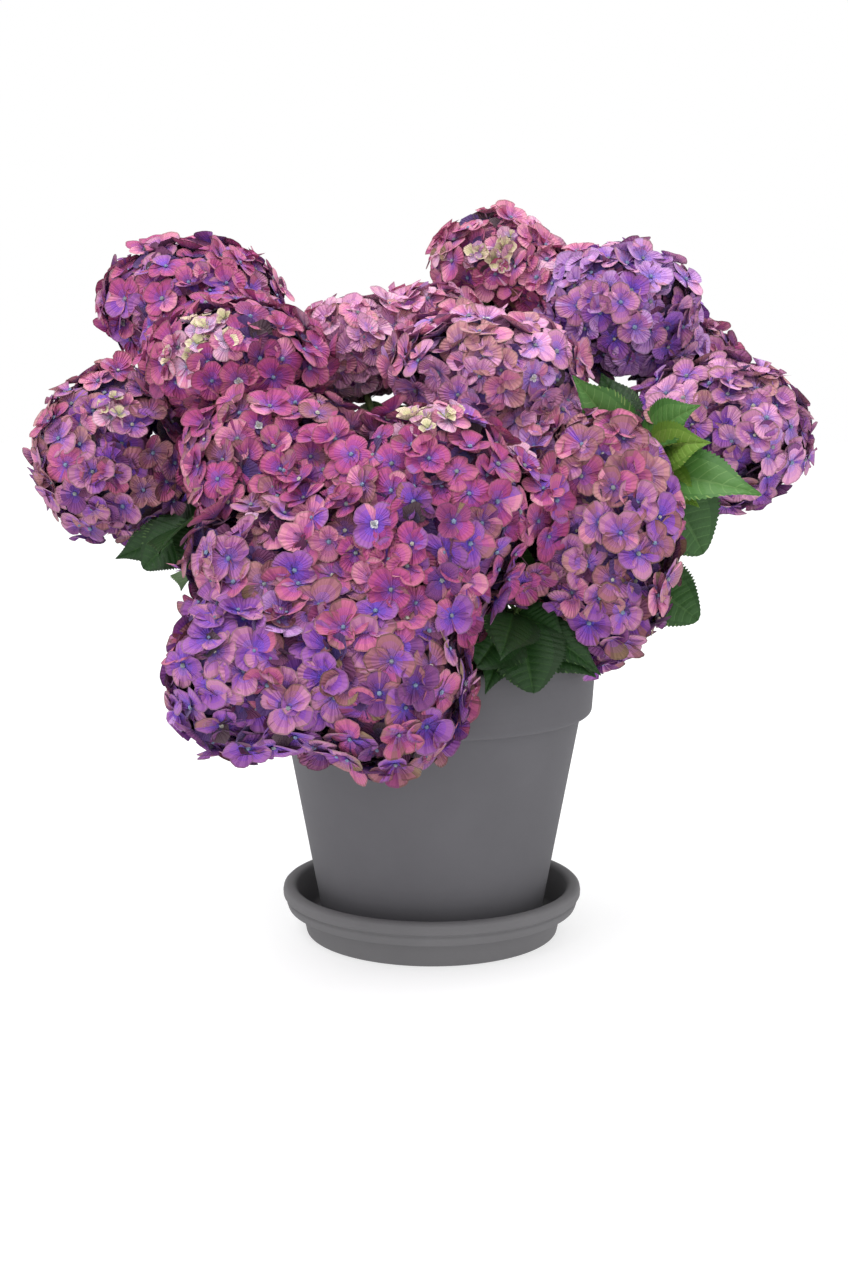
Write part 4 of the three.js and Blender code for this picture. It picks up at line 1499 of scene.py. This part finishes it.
def bark_ridges(rings):
    """Knobs and ridges of the old wood, always inward of the plain dome."""
    rng = np.random.default_rng(23)
    rough = rng.uniform(0.93, 1.0, rings.shape[:2])
    turn = np.arctan2(rings[..., 1], rings[..., 0])
    rough = rough * (1 - 0.03 * (0.5 + 0.5 * np.sin(turn * 11 + rings[..., 2] * 0.2)))
    return drawn_in(rings, rough)


crown_bottom = SOIL_TOP + GAP
crown_profile = [(0, crown_bottom), (CROWN_R + 1.5, crown_bottom)]
for ring in range(CROWN_RINGS):
    rise = ring / CROWN_RINGS * math.pi / 2
    crown_profile.append((CROWN_R * math.cos(rise), CROWN_Z + CROWN_R * math.sin(rise)))
crown_profile.append((0, CROWN_Z + CROWN_R))
crown = turned_object(
    "old_wood_crown", np.array(crown_profile, float), CROWN_FACETS,
    mixed_material("old_wood_finish", (74, 58, 40), (140, 120, 90), 90.0, 0.9), bark_ridges,
)
finish_piece(crown, ["woody_crown"])

# ---- floor, light and camera, in metres ----
rim = []
for k in range(FLOOR_SIDES):
    turn = 2 * math.pi * k / FLOOR_SIDES
    rim.append((FLOOR_R * math.cos(turn), FLOOR_R * math.sin(turn), 0))
floor_mesh = bpy.data.meshes.new("floor")
floor_mesh.from_pydata(rim, [], [tuple(range(FLOOR_SIDES))])
floor = bpy.data.objects.new("floor", floor_mesh)
bpy.context.scene.collection.objects.link(floor)
floor_finish, _, _ = new_material("floor_finish", {
    "Base Color": (0.46, 0.46, 0.465, 1), "Roughness": 0.9,
    "Emission Color": (1, 1, 1, 1), "Emission Strength": 0.62,
})
floor_mesh.materials.append(floor_finish)

world = bpy.data.worlds.new("studio")
world.use_nodes = True
put(world.node_tree.nodes["Background"], {"Color": (1, 1, 1, 1), "Strength": 1.0})
bpy.context.scene.world = world


def soft_light(name, place, target, size, power):
    data = bpy.data.lights.new(name, "AREA")
    data.shape = "SQUARE"
    data.size = size
    data.energy = power
    obj = bpy.data.objects.new(name, data)
    obj.location = place
    way = np.array(target, float) - np.array(place, float)
    yaw = math.atan2(way[0], -way[1])
    pitch = math.acos(-way[2] / np.linalg.norm(way))
    obj.rotation_euler = (pitch, 0, yaw + math.pi)
    bpy.context.scene.collection.objects.link(obj)


soft_light("key", (-0.8, -1.0, 2.4), (0, 0.1, 0.5), 1.3, 27)
soft_light("top", (0.5, 0.5, 2.3), (0, 0.1, 0.5), 1.4, 18)
soft_light("fill", (0.7, -2.7, 0.9), (0, 0.0, 0.4), 1.6, 5)

camera_data = bpy.data.cameras.new("camera")
camera_data.lens = CAMERA_LENS
camera_data.sensor_width = 36
camera_data.sensor_fit = "AUTO"
camera_data.clip_end = 30
camera = bpy.data.objects.new("camera", camera_data)
camera.location = [value * MM for value in CAMERA_PLACE]
camera.rotation_euler = (math.radians(90 - CAMERA_DIP), 0, 0)
bpy.context.scene.collection.objects.link(camera)
bpy.context.scene.camera = camera
bpy.context.scene.view_settings.view_transform = "Standard"
